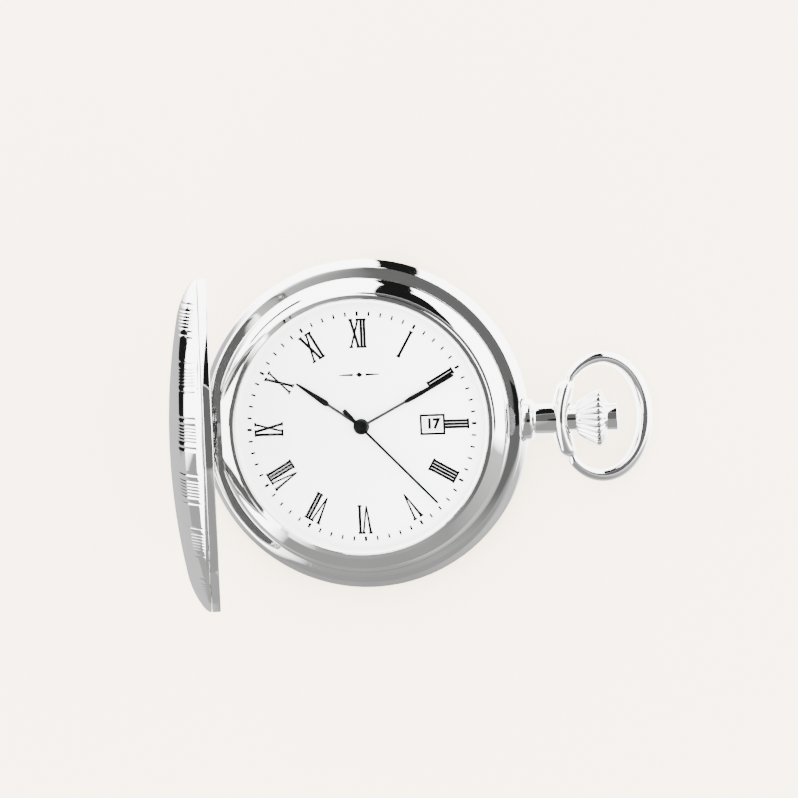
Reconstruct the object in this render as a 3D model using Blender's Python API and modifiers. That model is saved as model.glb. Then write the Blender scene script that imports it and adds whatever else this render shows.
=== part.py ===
"""Hunter-case pocket watch with a quartz movement, in metres, +Z up.

The watch lies on the flat of its case back at z = 0, dial up. +X runs to the crown at 3 o'clock
and +Y to 12 o'clock. The cover stands open on its hinge at 9 o'clock, and the bow has dropped
on to the surface that the watch lies on.
"""

import math

import bpy
import bmesh

MM = 0.001
TURN = 2 * math.pi

# Case, radii and heights
GIRTH_RADIUS = 24.0 * MM
GIRTH_Z = 3.9 * MM
SEAM_Z = 2.6 * MM
LEDGE_RADIUS = 22.85 * MM
LEDGE_Z = 5.9 * MM
BORE_RADIUS = 19.0 * MM
FLAT_RADIUS = 12.0 * MM
BACK_WALL = 0.8 * MM
SEAM_GAP = 0.15 * MM
FIT_GAP = 0.05 * MM

# Bezel, crystal and dial
BEZEL_RADIUS = 21.4 * MM
BEZEL_TOP_Z = 9.1 * MM
BEZEL_CHORD_X = -20.3 * MM
CRYSTAL_RADIUS = 18.0 * MM
CRYSTAL_EDGE_Z = 9.35 * MM
CRYSTAL_TOP_Z = 9.9 * MM
CRYSTAL_THICKNESS = 0.7 * MM
DIAL_RADIUS = 18.25 * MM
DIAL_Z = 7.8 * MM
DIAL_THICKNESS = 0.4 * MM
WINDOW_X = 10.3 * MM
WINDOW_SIZE = (2.7 * MM, 2.0 * MM)

# Cover and hinge
HINGE_X = -22.0 * MM
HINGE_Z = 6.2 * MM
HINGE_RADIUS = 0.5 * MM
PIN_RADIUS = 0.22 * MM
COVER_KNUCKLE = 2.3 * MM
HINGE_LENGTH = 6.6 * MM
CASE_FLAT_X = -22.55 * MM
COVER_OPEN = math.radians(80)
COVER_RADIUS = 22.8 * MM
COVER_INNER_RADIUS = 21.75 * MM
FRAME_HEIGHT = 1.15 * MM
COVER_HEIGHT = 5.95 * MM
COVER_DOME_RADIUS = 90.0 * MM
COVER_SHOULDER = 17.5 * MM
COVER_WALL = 0.55 * MM

# Pendant, crown and bow, all on the axis of the stem
STEM_Z = 5.0 * MM
STEM_RADIUS = 0.4 * MM
PENDANT_X = 23.05 * MM
FLANGE_RADIUS = 3.0 * MM
TUBE_RADIUS = 2.25 * MM
SLEEVE_RADIUS = 1.9 * MM
SLEEVE_END_X = 33.6 * MM
HEAD_X = 28.6 * MM
HEAD_HALF_SPAN = 5.3 * MM
CROWN_X = 30.9 * MM
CROWN_RADIUS = 4.05 * MM
CROWN_END_X = 36.8 * MM
CROWN_BORE = 2.1 * MM
BOW_X = 30.0 * MM
BOW_CENTRE = 4.8 * MM
BOW_REACH = 6.5 * MM
BOW_HALF_SPAN = 8.5 * MM
BOW_WIRE = 1.15 * MM
BOW_PIVOT_WIRE = 0.5 * MM
BOW_CLEAR = 0.05 * MM

# Hands, lengths from the centre, and the time they show
HOUR_LENGTH, HOUR_Z = 11.3 * MM, 8.08 * MM
MINUTE_LENGTH, MINUTE_Z = 15.4 * MM, 8.34 * MM
SECOND_LENGTH, SECOND_Z = 15.6 * MM, 8.6 * MM
HAND_THICKNESS = 0.12 * MM
SHOWN_HOUR, SHOWN_MINUTE, SHOWN_SECOND = 10.18, 10.4, 22.75

# Movement, from the dial side down
MOVEMENT_RADIUS = 12.2 * MM
DATE_DISC_Z = (6.95 * MM, 7.2 * MM)
DATE_DISC_RADII = (8.8 * MM, 11.8 * MM)
PLATE_Z = (5.75 * MM, 6.55 * MM)
BRIDGE_Z = (3.75 * MM, 4.15 * MM)
UPPER_GEAR_Z = (7.05 * MM, 7.25 * MM)
LOWER_GEAR_Z = (6.68 * MM, 6.93 * MM)
MOTION_DISTANCE = 3.0 * MM
TRAIN_DISTANCE = 4.4 * MM
MESH_GAP = 0.06 * MM

# Facets of large, small and tiny round pieces
LARGE, SMALL, TINY = 48, 20, 12


def clear_scene():
    for old in list(bpy.data.objects):
        bpy.data.objects.remove(old, do_unlink=True)


def new_group(name):
    group = bpy.data.collections.new(name)
    bpy.context.scene.collection.children.link(group)
    return group


clear_scene()
PARTS = new_group("pocket_watch")
CUTTERS = new_group("cutters")


def material(name, colour, roughness, metallic, alpha=1.0):
    made = bpy.data.materials.new(name)
    made.use_nodes = True
    shader = made.node_tree.nodes["Principled BSDF"]
    shader.inputs["Base Color"].default_value = (*colour, 1.0)
    shader.inputs["Roughness"].default_value = roughness
    shader.inputs["Metallic"].default_value = metallic
    shader.inputs["Alpha"].default_value = alpha
    return made


CHROME = material("polished_steel", (0.78, 0.78, 0.77), 0.06, 1.0)
SPRING = material("spring_steel", (0.55, 0.56, 0.58), 0.25, 1.0)
WHITE = material("white_enamel", (0.93, 0.93, 0.92), 0.35, 0.0)
BLACK = material("black_lacquer", (0.02, 0.02, 0.02), 0.3, 0.0)
GLASS = material("crystal_glass", (0.95, 0.97, 0.97), 0.02, 0.0, 0.2)
BRASS = material("gilt_brass", (0.80, 0.62, 0.30), 0.3, 1.0)
PLASTIC = material("white_plastic", (0.86, 0.86, 0.84), 0.5, 0.0)
RUBBER = material("black_rubber", (0.03, 0.03, 0.03), 0.7, 0.0)
COPPER = material("copper_wire", (0.72, 0.36, 0.20), 0.35, 1.0)
BOARD = material("green_board", (0.05, 0.22, 0.10), 0.5, 0.0)


def add_object(name, data, group, finish, location=(0, 0, 0), rotation=(0, 0, 0), parent=None):
    """Links one named object. A piece without a finish is a cutter or is joined to another."""
    made = bpy.data.objects.new(name, data)
    group.objects.link(made)
    made.location = location
    made.rotation_euler = rotation
    made.parent = parent
    if finish:
        data.materials.append(finish)
    else:
        made.hide_render = True
        made.display_type = "WIRE"
    return made


def smooth(obj):
    obj.data.shade_smooth()
    obj.data.set_sharp_from_angle(angle=math.radians(30))


def empty(name, location, rotation=(0, 0, 0)):
    made = bpy.data.objects.new(name, None)
    PARTS.objects.link(made)
    made.location = location
    made.rotation_euler = rotation
    return made


def downwards(profile):
    """The profile in the order that runs down its outer side, so that its faces point out."""
    nexts = profile[1:] + profile[:1]
    area = sum(a[0] * b[1] - b[0] * a[1] for a, b in zip(profile, nexts))
    return profile[::-1] if area > 0 else profile


def turned(name, profile, finish=None, steps=LARGE, ring=False, **place):
    """A turned shape from a profile of (radius, height). A ring's profile is a closed loop."""
    points = downwards(profile)
    edges = [(i, i + 1) for i in range(len(points) - 1)]
    if ring:
        edges.append((len(points) - 1, 0))
    mesh = bpy.data.meshes.new(name)
    mesh.from_pydata([(r, 0, z) for r, z in points], edges, [])
    group = PARTS if finish else CUTTERS
    made = add_object(name, mesh, group, finish, **place)
    screw = made.modifiers.new("turn", "SCREW")
    screw.angle = TURN
    screw.steps = screw.render_steps = steps
    screw.use_merge_vertices = True
    screw.merge_threshold = 0.000001
    screw.use_smooth_shade = True
    return made


def cylinder(name, radius, z_low, z_high, finish=None, steps=SMALL, **place):
    profile = [(0, z_high), (radius, z_high), (radius, z_low), (0, z_low)]
    return turned(name, profile, finish, steps, **place)


def tube(name, inner, outer, z_low, z_high, finish=None, steps=LARGE, **place):
    profile = [(inner, z_high), (outer, z_high), (outer, z_low), (inner, z_low)]
    return turned(name, profile, finish, steps, ring=True, **place)


def block(name, low, high, finish=None, **place):
    """A box from its lowest to its highest corner."""
    mesh = bpy.data.meshes.new(name)
    shape = bmesh.new()
    bmesh.ops.create_cube(shape, size=1.0)
    size = [b - a for a, b in zip(low, high)]
    middle = [(a + b) / 2 for a, b in zip(low, high)]
    bmesh.ops.scale(shape, vec=size, verts=shape.verts)
    bmesh.ops.translate(shape, vec=middle, verts=shape.verts)
    shape.to_mesh(mesh)
    shape.free()
    group = PARTS if finish else CUTTERS
    return add_object(name, mesh, group, finish, **place)


def mesh_from_curve(curve):
    """The closed mesh of a curve, its caps welded, for a piece that is cut or joined."""
    helper = bpy.data.objects.new(curve.name + "_curve", curve)
    bpy.context.scene.collection.objects.link(helper)
    bpy.context.view_layer.update()
    graph = bpy.context.evaluated_depsgraph_get()
    mesh = bpy.data.meshes.new_from_object(helper.evaluated_get(graph))
    bpy.data.objects.remove(helper, do_unlink=True)
    shape = bmesh.new()
    shape.from_mesh(mesh)
    bmesh.ops.remove_doubles(shape, verts=shape.verts, dist=0.0000005)
    bmesh.ops.recalc_face_normals(shape, faces=shape.faces)
    shape.to_mesh(mesh)
    shape.free()
    return mesh


def plate(name, outlines, z_low, z_high, finish=None, **place):
    """A flat piece between two heights. Its first outline is the edge, and others are holes."""
    curve = bpy.data.curves.new(name, "CURVE")
    curve.dimensions = "2D"
    curve.fill_mode = "BOTH"
    curve.extrude = (z_high - z_low) / 2
    for outline in outlines:
        spline = curve.splines.new("POLY")
        spline.points.add(len(outline) - 1)
        for point, (x, y) in zip(spline.points, outline):
            point.co = (x, y, 0, 1)
        spline.use_cyclic_u = True
    mesh = mesh_from_curve(curve)
    for vertex in mesh.vertices:
        vertex.co.z += (z_low + z_high) / 2
    group = PARTS if finish else CUTTERS
    return add_object(name, mesh, group, finish, **place)


def wire_curve(name, points, radii):
    """A round wire through points, with a radius for each point."""
    curve = bpy.data.curves.new(name, "CURVE")
    curve.dimensions = "3D"
    curve.bevel_depth = 1.0
    curve.bevel_resolution = 2
    curve.use_fill_caps = True
    spline = curve.splines.new("POLY")
    spline.points.add(len(points) - 1)
    for point, place, radius in zip(spline.points, points, radii):
        point.co = (*place, 1)
        point.radius = radius
    return curve


def circle(radius, steps, x=0.0, y=0.0):
    angles = [TURN * i / steps for i in range(steps)]
    return [(x + radius * math.cos(a), y + radius * math.sin(a)) for a in angles]


def arc(radius, start, end, steps):
    angles = [start + (end - start) * i / steps for i in range(steps + 1)]
    return [(radius * math.cos(a), radius * math.sin(a)) for a in angles]


def rectangle(x_low, x_high, y_low, y_high):
    return [(x_low, y_low), (x_high, y_low), (x_high, y_high), (x_low, y_high)]


def teeth(count, pitch_radius, depth=0.16 * MM, turn=0.0):
    """The pointed outline of a small gear: one tip and one root for each tooth."""
    points = []
    for i in range(2 * count):
        radius = pitch_radius + (depth / 2 if i % 2 == 0 else -depth / 2)
        angle = turn + math.pi * i / count
        points.append((radius * math.cos(angle), radius * math.sin(angle)))
    return points


def boolean(obj, other, operation):
    step = obj.modifiers.new(other.name, "BOOLEAN")
    step.operation = operation
    step.solver = "EXACT"
    step.object = other


def cut(obj, *cutters):
    for cutter in cutters:
        boolean(obj, cutter, "DIFFERENCE")


def join(obj, *pieces):
    for piece in pieces:
        boolean(obj, piece, "UNION")


ALONG_X = {"location": (0, 0, STEM_Z), "rotation": (0, math.pi / 2, 0)}


def along_hinge(name, radius, y_low, y_high, finish=None, steps=TINY, parent=None):
    """A round bar on the cover's hinge line. Under the cover's parent it starts from that line."""
    place = (0, 0, 0) if parent else (HINGE_X, 0, HINGE_Z)
    turned_to_y = (-math.pi / 2, 0, 0)
    return cylinder(
        name, radius, y_low, y_high, finish, steps, location=place, rotation=turned_to_y, parent=parent
    )


# ---------------------------------------------------------------- case


def make_case_middle(pendant_seat):
    profile = [
        (LEDGE_RADIUS - 0.15 * MM, LEDGE_Z),
        (LEDGE_RADIUS + 0.1 * MM, LEDGE_Z - 0.1 * MM),
        (LEDGE_RADIUS + 0.6 * MM, LEDGE_Z - 0.6 * MM),
        (GIRTH_RADIUS - 0.15 * MM, GIRTH_Z + 0.7 * MM),
        (GIRTH_RADIUS, GIRTH_Z),
        (GIRTH_RADIUS - 0.15 * MM, GIRTH_Z - 0.6 * MM),
        (GIRTH_RADIUS - 0.6 * MM, SEAM_Z),
        (21.45 * MM, SEAM_Z),
        (21.45 * MM, 3.75 * MM),
        (BORE_RADIUS, 3.75 * MM),
        (BORE_RADIUS, LEDGE_Z),
    ]
    case = turned("case_middle", profile, CHROME, ring=True)
    reach = 1.5 * MM
    flat = block(
        "hinge_flat_cutter",
        (CASE_FLAT_X - 3 * MM, -9.5 * MM, SEAM_Z + 0.3 * MM),
        (CASE_FLAT_X, 9.5 * MM, LEDGE_Z + reach),
    )
    half = COVER_KNUCKLE / 2 + 0.15 * MM
    collar_end = 20.9 * MM
    bore = [
        (0, 18 * MM),
        (0.87 * MM, 18 * MM),
        (0.87 * MM, collar_end),
        (0.75 * MM, collar_end),
        (0.75 * MM, 24 * MM),
        (0, 24 * MM),
    ]
    cut(case, flat)
    for side in (-1, 1):
        ends = sorted((side * half, side * HINGE_LENGTH / 2))
        join(case, along_hinge(f"case_knuckle_{side}", HINGE_RADIUS, *ends))
    cut(
        case,
        along_hinge("cover_knuckle_groove", HINGE_RADIUS + 0.2 * MM, -half + FIT_GAP, half - FIT_GAP),
        along_hinge("case_pin_hole", PIN_RADIUS + FIT_GAP, -HINGE_LENGTH, HINGE_LENGTH, steps=10),
        block(
            "spring_tongue_groove",
            (HINGE_X, -1.2 * MM, LEDGE_Z - 0.7 * MM),
            (-18.0 * MM, 1.2 * MM, LEDGE_Z + reach),
        ),
        pendant_seat,
        turned("stem_bore", bore, steps=SMALL, **ALONG_X),
    )
    smooth(case)


def make_case_back(pendant_seat):
    rim_inner, rim_outer, rim_top = 20.6 * MM, 21.3 * MM, 3.55 * MM
    edge_z = SEAM_Z - SEAM_GAP
    profile = [
        (0, BACK_WALL),
        (FLAT_RADIUS, BACK_WALL),
        (17.5 * MM, 1.45 * MM),
        (rim_inner, 2.5 * MM),
        (rim_inner, rim_top),
        (rim_outer, rim_top),
        (rim_outer, edge_z),
        (GIRTH_RADIUS - 0.75 * MM, edge_z),
        (22.0 * MM, 1.62 * MM),
        (19.6 * MM, 0.78 * MM),
        (16.5 * MM, 0.24 * MM),
        (FLAT_RADIUS + 1.5 * MM, 0.03 * MM),
        (FLAT_RADIUS, 0),
        (0, 0),
    ]
    back = turned("case_back", profile, CHROME)
    cut(back, pendant_seat)
    smooth(back)
    smooth(tube("back_gasket", 19.75 * MM, 20.45 * MM, 3.0 * MM, 3.6 * MM, RUBBER))


def make_bezel():
    outer = [
        (CRYSTAL_RADIUS + 0.45 * MM, BEZEL_TOP_Z),
        (19.0 * MM, BEZEL_TOP_Z),
        (19.2 * MM, BEZEL_TOP_Z - 0.2 * MM),
        (20.2 * MM, 8.5 * MM),
        (20.9 * MM, 8.0 * MM),
        (21.25 * MM, 7.6 * MM),
        (BEZEL_RADIUS, 7.2 * MM),
        (BEZEL_RADIUS, LEDGE_Z + SEAM_GAP),
        (CRYSTAL_RADIUS + 0.45 * MM, LEDGE_Z + SEAM_GAP),
    ]
    bezel = turned("bezel", outer, CHROME, ring=True)
    chord = block(
        "bezel_chord_cutter",
        (BEZEL_CHORD_X - 3 * MM, -12 * MM, 0),
        (BEZEL_CHORD_X, 12 * MM, 12 * MM),
    )
    hollow_loop = [
        (17.0 * MM, 7.4 * MM),
        (19.1 * MM, 7.4 * MM),
        (19.1 * MM, 8.3 * MM),
        (20.4 * MM, 7.6 * MM),
        (20.8 * MM, 7.1 * MM),
        (20.8 * MM, 5.0 * MM),
        (17.0 * MM, 5.0 * MM),
    ]
    hollow = turned("bezel_hollow_cutter", hollow_loop, ring=True)
    trim = block("bezel_hollow_trim", (-26 * MM, -12 * MM, 0), (BEZEL_CHORD_X + 0.5 * MM, 12 * MM, 12 * MM))
    cut(hollow, trim)
    catch_slot = block("catch_slot", (20 * MM, -2.5 * MM, 6.25 * MM), (23 * MM, 2.5 * MM, 7.05 * MM))
    tongue_slot = block("tongue_slot", (-21 * MM, -1.2 * MM, 5.0 * MM), (-18 * MM, 1.2 * MM, 6.75 * MM))
    cut(bezel, chord, hollow, catch_slot, tongue_slot)
    smooth(bezel)


def crystal_height(radius):
    """Height of the crystal's domed face over its flat edge, at a radius."""
    return CRYSTAL_TOP_Z - (CRYSTAL_TOP_Z - CRYSTAL_EDGE_Z) * (radius / CRYSTAL_RADIUS) ** 2


def make_crystal():
    rings = [CRYSTAL_RADIUS * i / 4 for i in range(5)]
    face = [(r, crystal_height(r)) for r in rings]
    under = [(r, crystal_height(r) - CRYSTAL_THICKNESS) for r in reversed(rings)]
    smooth(turned("crystal", face + under, GLASS))
    low = DIAL_Z + SEAM_GAP
    inner = CRYSTAL_RADIUS + FIT_GAP
    smooth(tube("crystal_gasket", inner, inner + 0.33 * MM, low, BEZEL_TOP_Z - 0.1 * MM, PLASTIC))


# ---------------------------------------------------------------- springs under the bezel


def strip(radius, half_angle, middle_angle, thickness, steps):
    """The outline of a spring strip bent round the case."""
    low, high = middle_angle - half_angle, middle_angle + half_angle
    outer = arc(radius + thickness / 2, low, high, steps)
    inner = arc(radius - thickness / 2, low, high, steps)
    return outer + inner[::-1]


def make_lift_spring():
    z_low, z_high = 6.1 * MM, 6.7 * MM
    spring = plate(
        "lift_spring", [strip(19.0 * MM, math.radians(48), math.pi, 0.4 * MM, 16)], z_low, z_high, SPRING
    )
    tongue = block("lift_spring_tongue", (-21.35 * MM, -0.9 * MM, 5.45 * MM), (-19.2 * MM, 0.9 * MM, 6.0 * MM))
    riser = block("lift_spring_riser", (-19.6 * MM, -0.9 * MM, 5.45 * MM), (-18.95 * MM, 0.9 * MM, 6.3 * MM))
    join(spring, tongue, riser)


def make_lock_spring():
    """The spring whose catch holds the closed cover. The stem's collar pushes its fork inwards."""
    z_low, z_high = 6.1 * MM, 6.95 * MM
    spring = plate(
        "lock_spring", [strip(20.3 * MM, math.radians(32), 0, 0.4 * MM, 14)], z_low, z_high, SPRING
    )
    nib_outline = [(20.3 * MM, -2.1 * MM), (21.7 * MM, -2.0 * MM)]
    nib_outline += [(22.1 * MM, -0.9 * MM), (22.1 * MM, 0.9 * MM), (21.7 * MM, 2.0 * MM), (20.3 * MM, 2.1 * MM)]
    nib = plate("lock_nib", [nib_outline], 6.62 * MM, 6.92 * MM)
    arm = block("lock_arm", (18.4 * MM, -1.3 * MM, z_low), (20.3 * MM, 1.3 * MM, z_high - 0.2 * MM))
    leg = block("lock_leg", (18.4 * MM, -1.3 * MM, 4.3 * MM), (18.75 * MM, 1.3 * MM, z_high - 0.3 * MM))
    gap = block("lock_fork_gap", (18 * MM, -0.5 * MM, 4 * MM), (19.5 * MM, 0.5 * MM, 5.6 * MM))
    join(spring, nib, arm, leg)
    cut(spring, gap)


# ---------------------------------------------------------------- pendant, crown and bow


def make_pendant():
    profile = [
        (0.55 * MM, PENDANT_X),
        (FLANGE_RADIUS - 0.25 * MM, PENDANT_X),
        (FLANGE_RADIUS, PENDANT_X + 0.3 * MM),
        (FLANGE_RADIUS, PENDANT_X + 1.3 * MM),
        (FLANGE_RADIUS - 0.5 * MM, PENDANT_X + 1.85 * MM),
        (TUBE_RADIUS, PENDANT_X + 1.9 * MM),
        (TUBE_RADIUS, HEAD_X),
        (SLEEVE_RADIUS, HEAD_X),
        (SLEEVE_RADIUS, SLEEVE_END_X),
        (0.55 * MM, SLEEVE_END_X),
    ]
    pendant = turned("pendant", profile, CHROME, steps=SMALL, ring=True, **ALONG_X)
    steps = 14
    points, radii = [], []
    for i in range(steps + 1):
        along = 2 * i / steps - 1
        points.append((HEAD_X + 1.35 * MM * along * along, HEAD_HALF_SPAN * along, STEM_Z))
        round_end = math.sqrt(max(0.0, 1 - abs(along) ** 8))
        radii.append((0.75 + 0.65 * round_end) * MM)
    head_mesh = mesh_from_curve(wire_curve("head", points, radii))
    head = add_object("pendant_head", head_mesh, CUTTERS, None)
    join(pendant, head)
    for side in (-1, 1):
        ends = sorted((side * 4.3 * MM, side * 8 * MM))
        turned_to_y = {"location": (BOW_X, 0, STEM_Z), "rotation": (-math.pi / 2, 0, 0)}
        cut(pendant, cylinder(f"pivot_hole_{side}", BOW_PIVOT_WIRE + 0.1 * MM, *ends, steps=TINY, **turned_to_y))
    cut(pendant, cylinder("stem_hole", 0.55 * MM, 22 * MM, SLEEVE_END_X + MM, **ALONG_X))
    smooth(pendant)


def make_crown():
    bore_end = SLEEVE_END_X + 0.7 * MM
    groove_low, groove_high, groove_radius = 32.15 * MM, 33.65 * MM, 2.5 * MM
    profile = [
        (0, 35.6 * MM),
        (STEM_RADIUS + FIT_GAP, 35.6 * MM),
        (STEM_RADIUS + FIT_GAP, bore_end),
        (CROWN_BORE, bore_end),
        (CROWN_BORE, groove_high),
        (groove_radius, groove_high),
        (groove_radius, groove_low),
        (CROWN_BORE, groove_low),
        (CROWN_BORE, CROWN_X),
        (CROWN_BORE + 0.25 * MM, CROWN_X),
        (CROWN_RADIUS, 33.95 * MM),
        (CROWN_RADIUS, 34.4 * MM),
        (2.2 * MM, 35.4 * MM),
        (2.02 * MM, 35.4 * MM),
        (2.02 * MM, CROWN_END_X - 0.15 * MM),
        (1.87 * MM, CROWN_END_X),
        (0, CROWN_END_X),
    ]
    crown = turned("crown", profile, CHROME, steps=36, **ALONG_X)
    smooth(crown)
    stem_profile = [
        (0, 9.4 * MM),
        (STEM_RADIUS, 9.4 * MM),
        (STEM_RADIUS, 19.05 * MM),
        (0.75 * MM, 19.05 * MM),
        (0.75 * MM, 19.35 * MM),
        (STEM_RADIUS, 19.35 * MM),
        (STEM_RADIUS, 35.5 * MM),
        (0, 35.5 * MM),
    ]
    smooth(turned("setting_stem", stem_profile, SPRING, steps=TINY, **ALONG_X))
    gasket = (SLEEVE_RADIUS + FIT_GAP, groove_radius - FIT_GAP, groove_high - 0.4 * MM, groove_high - 0.1 * MM)
    smooth(tube("crown_gasket", *gasket, RUBBER, steps=SMALL, **ALONG_X))


def make_bow():
    """An oval ring of tapered wire, its ends turned in to pivot in the head of the pendant."""
    far = BOW_CENTRE + BOW_REACH
    drop = math.asin((STEM_Z - BOW_WIRE - BOW_CLEAR) / far)
    hinge = empty("bow_hinge", (BOW_X, 0, STEM_Z), (0, drop, 0))
    steps = 40
    last = math.radians(140)
    points = [(0, -4.6 * MM, 0), (0, -5.0 * MM, 0), (0, -5.35 * MM, 0)]
    radii = [BOW_PIVOT_WIRE] * 3
    for i in range(steps + 1):
        angle = -last + 2 * last * i / steps
        nearness = (1 + math.cos(angle)) / 2
        x = BOW_CENTRE + BOW_REACH * math.cos(angle)
        y = BOW_HALF_SPAN * math.sin(angle)
        if x < 0.35 * MM:
            continue
        points.append((x, y, 0))
        radii.append(BOW_WIRE * (0.52 + 0.48 * nearness**0.8))
    points += [(0, 5.35 * MM, 0), (0, 5.0 * MM, 0), (0, 4.6 * MM, 0)]
    radii += [BOW_PIVOT_WIRE] * 3
    curve = wire_curve("bow", points, radii)
    add_object("bow", curve, PARTS, CHROME, parent=hinge)


# ---------------------------------------------------------------- cover


def cover_height(radius):
    """Height of the cover's outer face over its rim. A large sphere rolls over into the edge."""
    crown = COVER_DOME_RADIUS - math.sqrt(COVER_DOME_RADIUS**2 - radius**2)
    if radius <= COVER_SHOULDER:
        return COVER_HEIGHT - crown
    part = (radius - COVER_SHOULDER) / (COVER_RADIUS - COVER_SHOULDER)
    edge_drop = COVER_HEIGHT - crown - FRAME_HEIGHT
    return COVER_HEIGHT - crown - edge_drop * (1 - math.sqrt(max(0.0, 1 - part**2.2)))


def make_cover():
    """The cover is drawn closed, from its hinge line, and its parent turns it open."""
    hinge = empty("cover_hinge", (HINGE_X, 0, HINGE_Z), (0, -COVER_OPEN, 0))
    middle = (-HINGE_X, 0, 0)
    radii = [0, 5.5, 10.5, 15.0, 18.0, 20.2, 21.6, 22.4]
    outer = [(r * MM, cover_height(r * MM)) for r in radii]
    outer += [(COVER_RADIUS, FRAME_HEIGHT + 0.5 * MM), (COVER_RADIUS, FRAME_HEIGHT + 0.08 * MM)]
    dome = turned("front_cover", outer, CHROME, location=middle, parent=hinge)
    wall = dome.modifiers.new("wall", "SOLIDIFY")
    wall.thickness = COVER_WALL
    wall.offset = -1
    flat = block(
        "cover_flat_cutter",
        (-5 * MM, -12 * MM, -MM),
        (CASE_FLAT_X - HINGE_X + 0.1 * MM, 12 * MM, 4 * MM),
        parent=hinge,
    )
    cut(dome, flat)
    smooth(dome)

    frame = tube(
        "cover_frame", COVER_INNER_RADIUS, COVER_RADIUS, 0, FRAME_HEIGHT, CHROME, location=middle, parent=hinge
    )
    leaf = block("cover_leaf", (0, -6.3 * MM, 0), (1.25 * MM, 6.3 * MM, FRAME_HEIGHT), parent=hinge)
    edge = block("cover_edge_cutter", (-5 * MM, -12 * MM, -MM), (0, 12 * MM, 4 * MM), parent=hinge)
    half = COVER_KNUCKLE / 2
    knuckle = along_hinge("cover_knuckle", HINGE_RADIUS, -half, half, parent=hinge)
    undercut = block(
        "catch_undercut",
        (43.0 * MM, -3.0 * MM, 0.25 * MM),
        (44.35 * MM, 3.0 * MM, FRAME_HEIGHT + MM),
        parent=hinge,
    )
    join(frame, leaf)
    cut(frame, edge)
    join(frame, knuckle)
    for side in (-1, 1):
        ends = sorted((side * (half + 0.02 * MM), side * (HINGE_LENGTH / 2 + 0.2 * MM)))
        name = f"case_knuckle_clearance_{side}"
        cut(frame, along_hinge(name, HINGE_RADIUS + 0.15 * MM, *ends, parent=hinge))
    pin_hole = along_hinge("cover_pin_hole", PIN_RADIUS + FIT_GAP, -4 * MM, 4 * MM, steps=10, parent=hinge)
    cut(frame, pin_hole, undercut)
    smooth(frame)
    pin_half = HINGE_LENGTH / 2 - 0.05 * MM
    along_hinge("hinge_pin", PIN_RADIUS, -pin_half, pin_half, SPRING, steps=10)


# ---------------------------------------------------------------- dial and hands


def make_dial():
    half_x, half_y = WINDOW_SIZE[0] / 2, WINDOW_SIZE[1] / 2
    outlines = [
        circle(DIAL_RADIUS, LARGE),
        circle(1.15 * MM, SMALL),
        rectangle(WINDOW_X - half_x, WINDOW_X + half_x, -half_y, half_y),
    ]
    plate("dial", outlines, DIAL_Z - DIAL_THICKNESS, DIAL_Z, WHITE)


def hand_outline(length, stem_half, blade_start, blade_half, tip_half, tail=0.0, tail_half=0.0):
    """Half outlines of a hand that points to 12, mirrored: thin stem, wider blade, pointed tip."""
    right = []
    if tail:
        right += [(tail_half, -tail), (tail_half, -tail * 0.45), (stem_half, -tail * 0.3)]
    right += [(stem_half, 0), (stem_half, blade_start), (blade_half, blade_start + blade_half)]
    right += [(tip_half, length - 2 * tip_half), (0, length)]
    if not tail:
        right.insert(0, (stem_half, -stem_half))
    left = [(-x, y) for x, y in reversed(right) if x > 0]
    return right + left


def make_hand(name, outline, z_low, angle, boss_radius, hole_radius):
    hand = plate(name, [outline], z_low, z_low + HAND_THICKNESS, BLACK, rotation=(0, 0, -angle))
    boss = cylinder(f"{name}_boss", boss_radius, z_low, z_low + HAND_THICKNESS, steps=SMALL)
    join(hand, boss)
    if hole_radius:
        cut(hand, cylinder(f"{name}_hole", hole_radius, z_low - MM, z_low + MM, steps=SMALL))
    return hand


def make_hands():
    hour_line = hand_outline(HOUR_LENGTH, 0.14 * MM, 5.8 * MM, 0.34 * MM, 0.12 * MM)
    minute_line = hand_outline(MINUTE_LENGTH, 0.12 * MM, 7.4 * MM, 0.27 * MM, 0.1 * MM)
    second_line = hand_outline(SECOND_LENGTH, 0.07 * MM, 12 * MM, 0.07 * MM, 0.05 * MM, 3.5 * MM, 0.13 * MM)
    make_hand("hour_hand", hour_line, HOUR_Z, TURN * SHOWN_HOUR / 12, 1.05 * MM, 0.97 * MM)
    make_hand("minute_hand", minute_line, MINUTE_Z, TURN * SHOWN_MINUTE / 60, 0.9 * MM, 0.62 * MM)
    second = make_hand("second_hand", second_line, SECOND_Z, TURN * SHOWN_SECOND / 60, 0.6 * MM, 0)
    cap = cylinder("second_hand_cap", 0.93 * MM, SECOND_Z, SECOND_Z + 0.28 * MM, steps=SMALL)
    bore = cylinder("second_hand_bore", 0.24 * MM, SECOND_Z - MM, SECOND_Z + 0.15 * MM, steps=TINY)
    join(second, cap)
    cut(second, bore)


# ---------------------------------------------------------------- movement


def polar(distance, degrees):
    angle = math.radians(degrees)
    return distance * math.cos(angle), distance * math.sin(angle)


THIRD_AT = polar(TRAIN_DISTANCE, 20)
STEP_AT = polar(3.8 * MM, 200)
ROTOR_AT = (STEP_AT[0] + 0.83 * MM, STEP_AT[1] - 3.09 * MM)
MOTION_AT = polar(MOTION_DISTANCE, 80)
DATE_STEP_AT = polar(4.8 * MM, -60)
DATE_DRIVE_AT = (DATE_STEP_AT[0] + 2.6 * MM, DATE_STEP_AT[1] + 0.9 * MM)
BATTERY_AT = polar(7.9 * MM, 120)
COIL_AT = (-0.6 * MM, -8.2 * MM)


def gear_radii(distance, first, second):
    """Pitch radii of a meshing pair at a distance, each a little small so the teeth stand clear."""
    total = first + second
    return distance * first / total - MESH_GAP, distance * second / total - MESH_GAP


def arbor(name, at, radius, z_low, z_high, hole=0.0):
    outline = [circle(radius, TINY)]
    if hole:
        outline.append(circle(hole, TINY))
    return plate(name, outline, z_low, z_high, location=(*at, 0))


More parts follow.
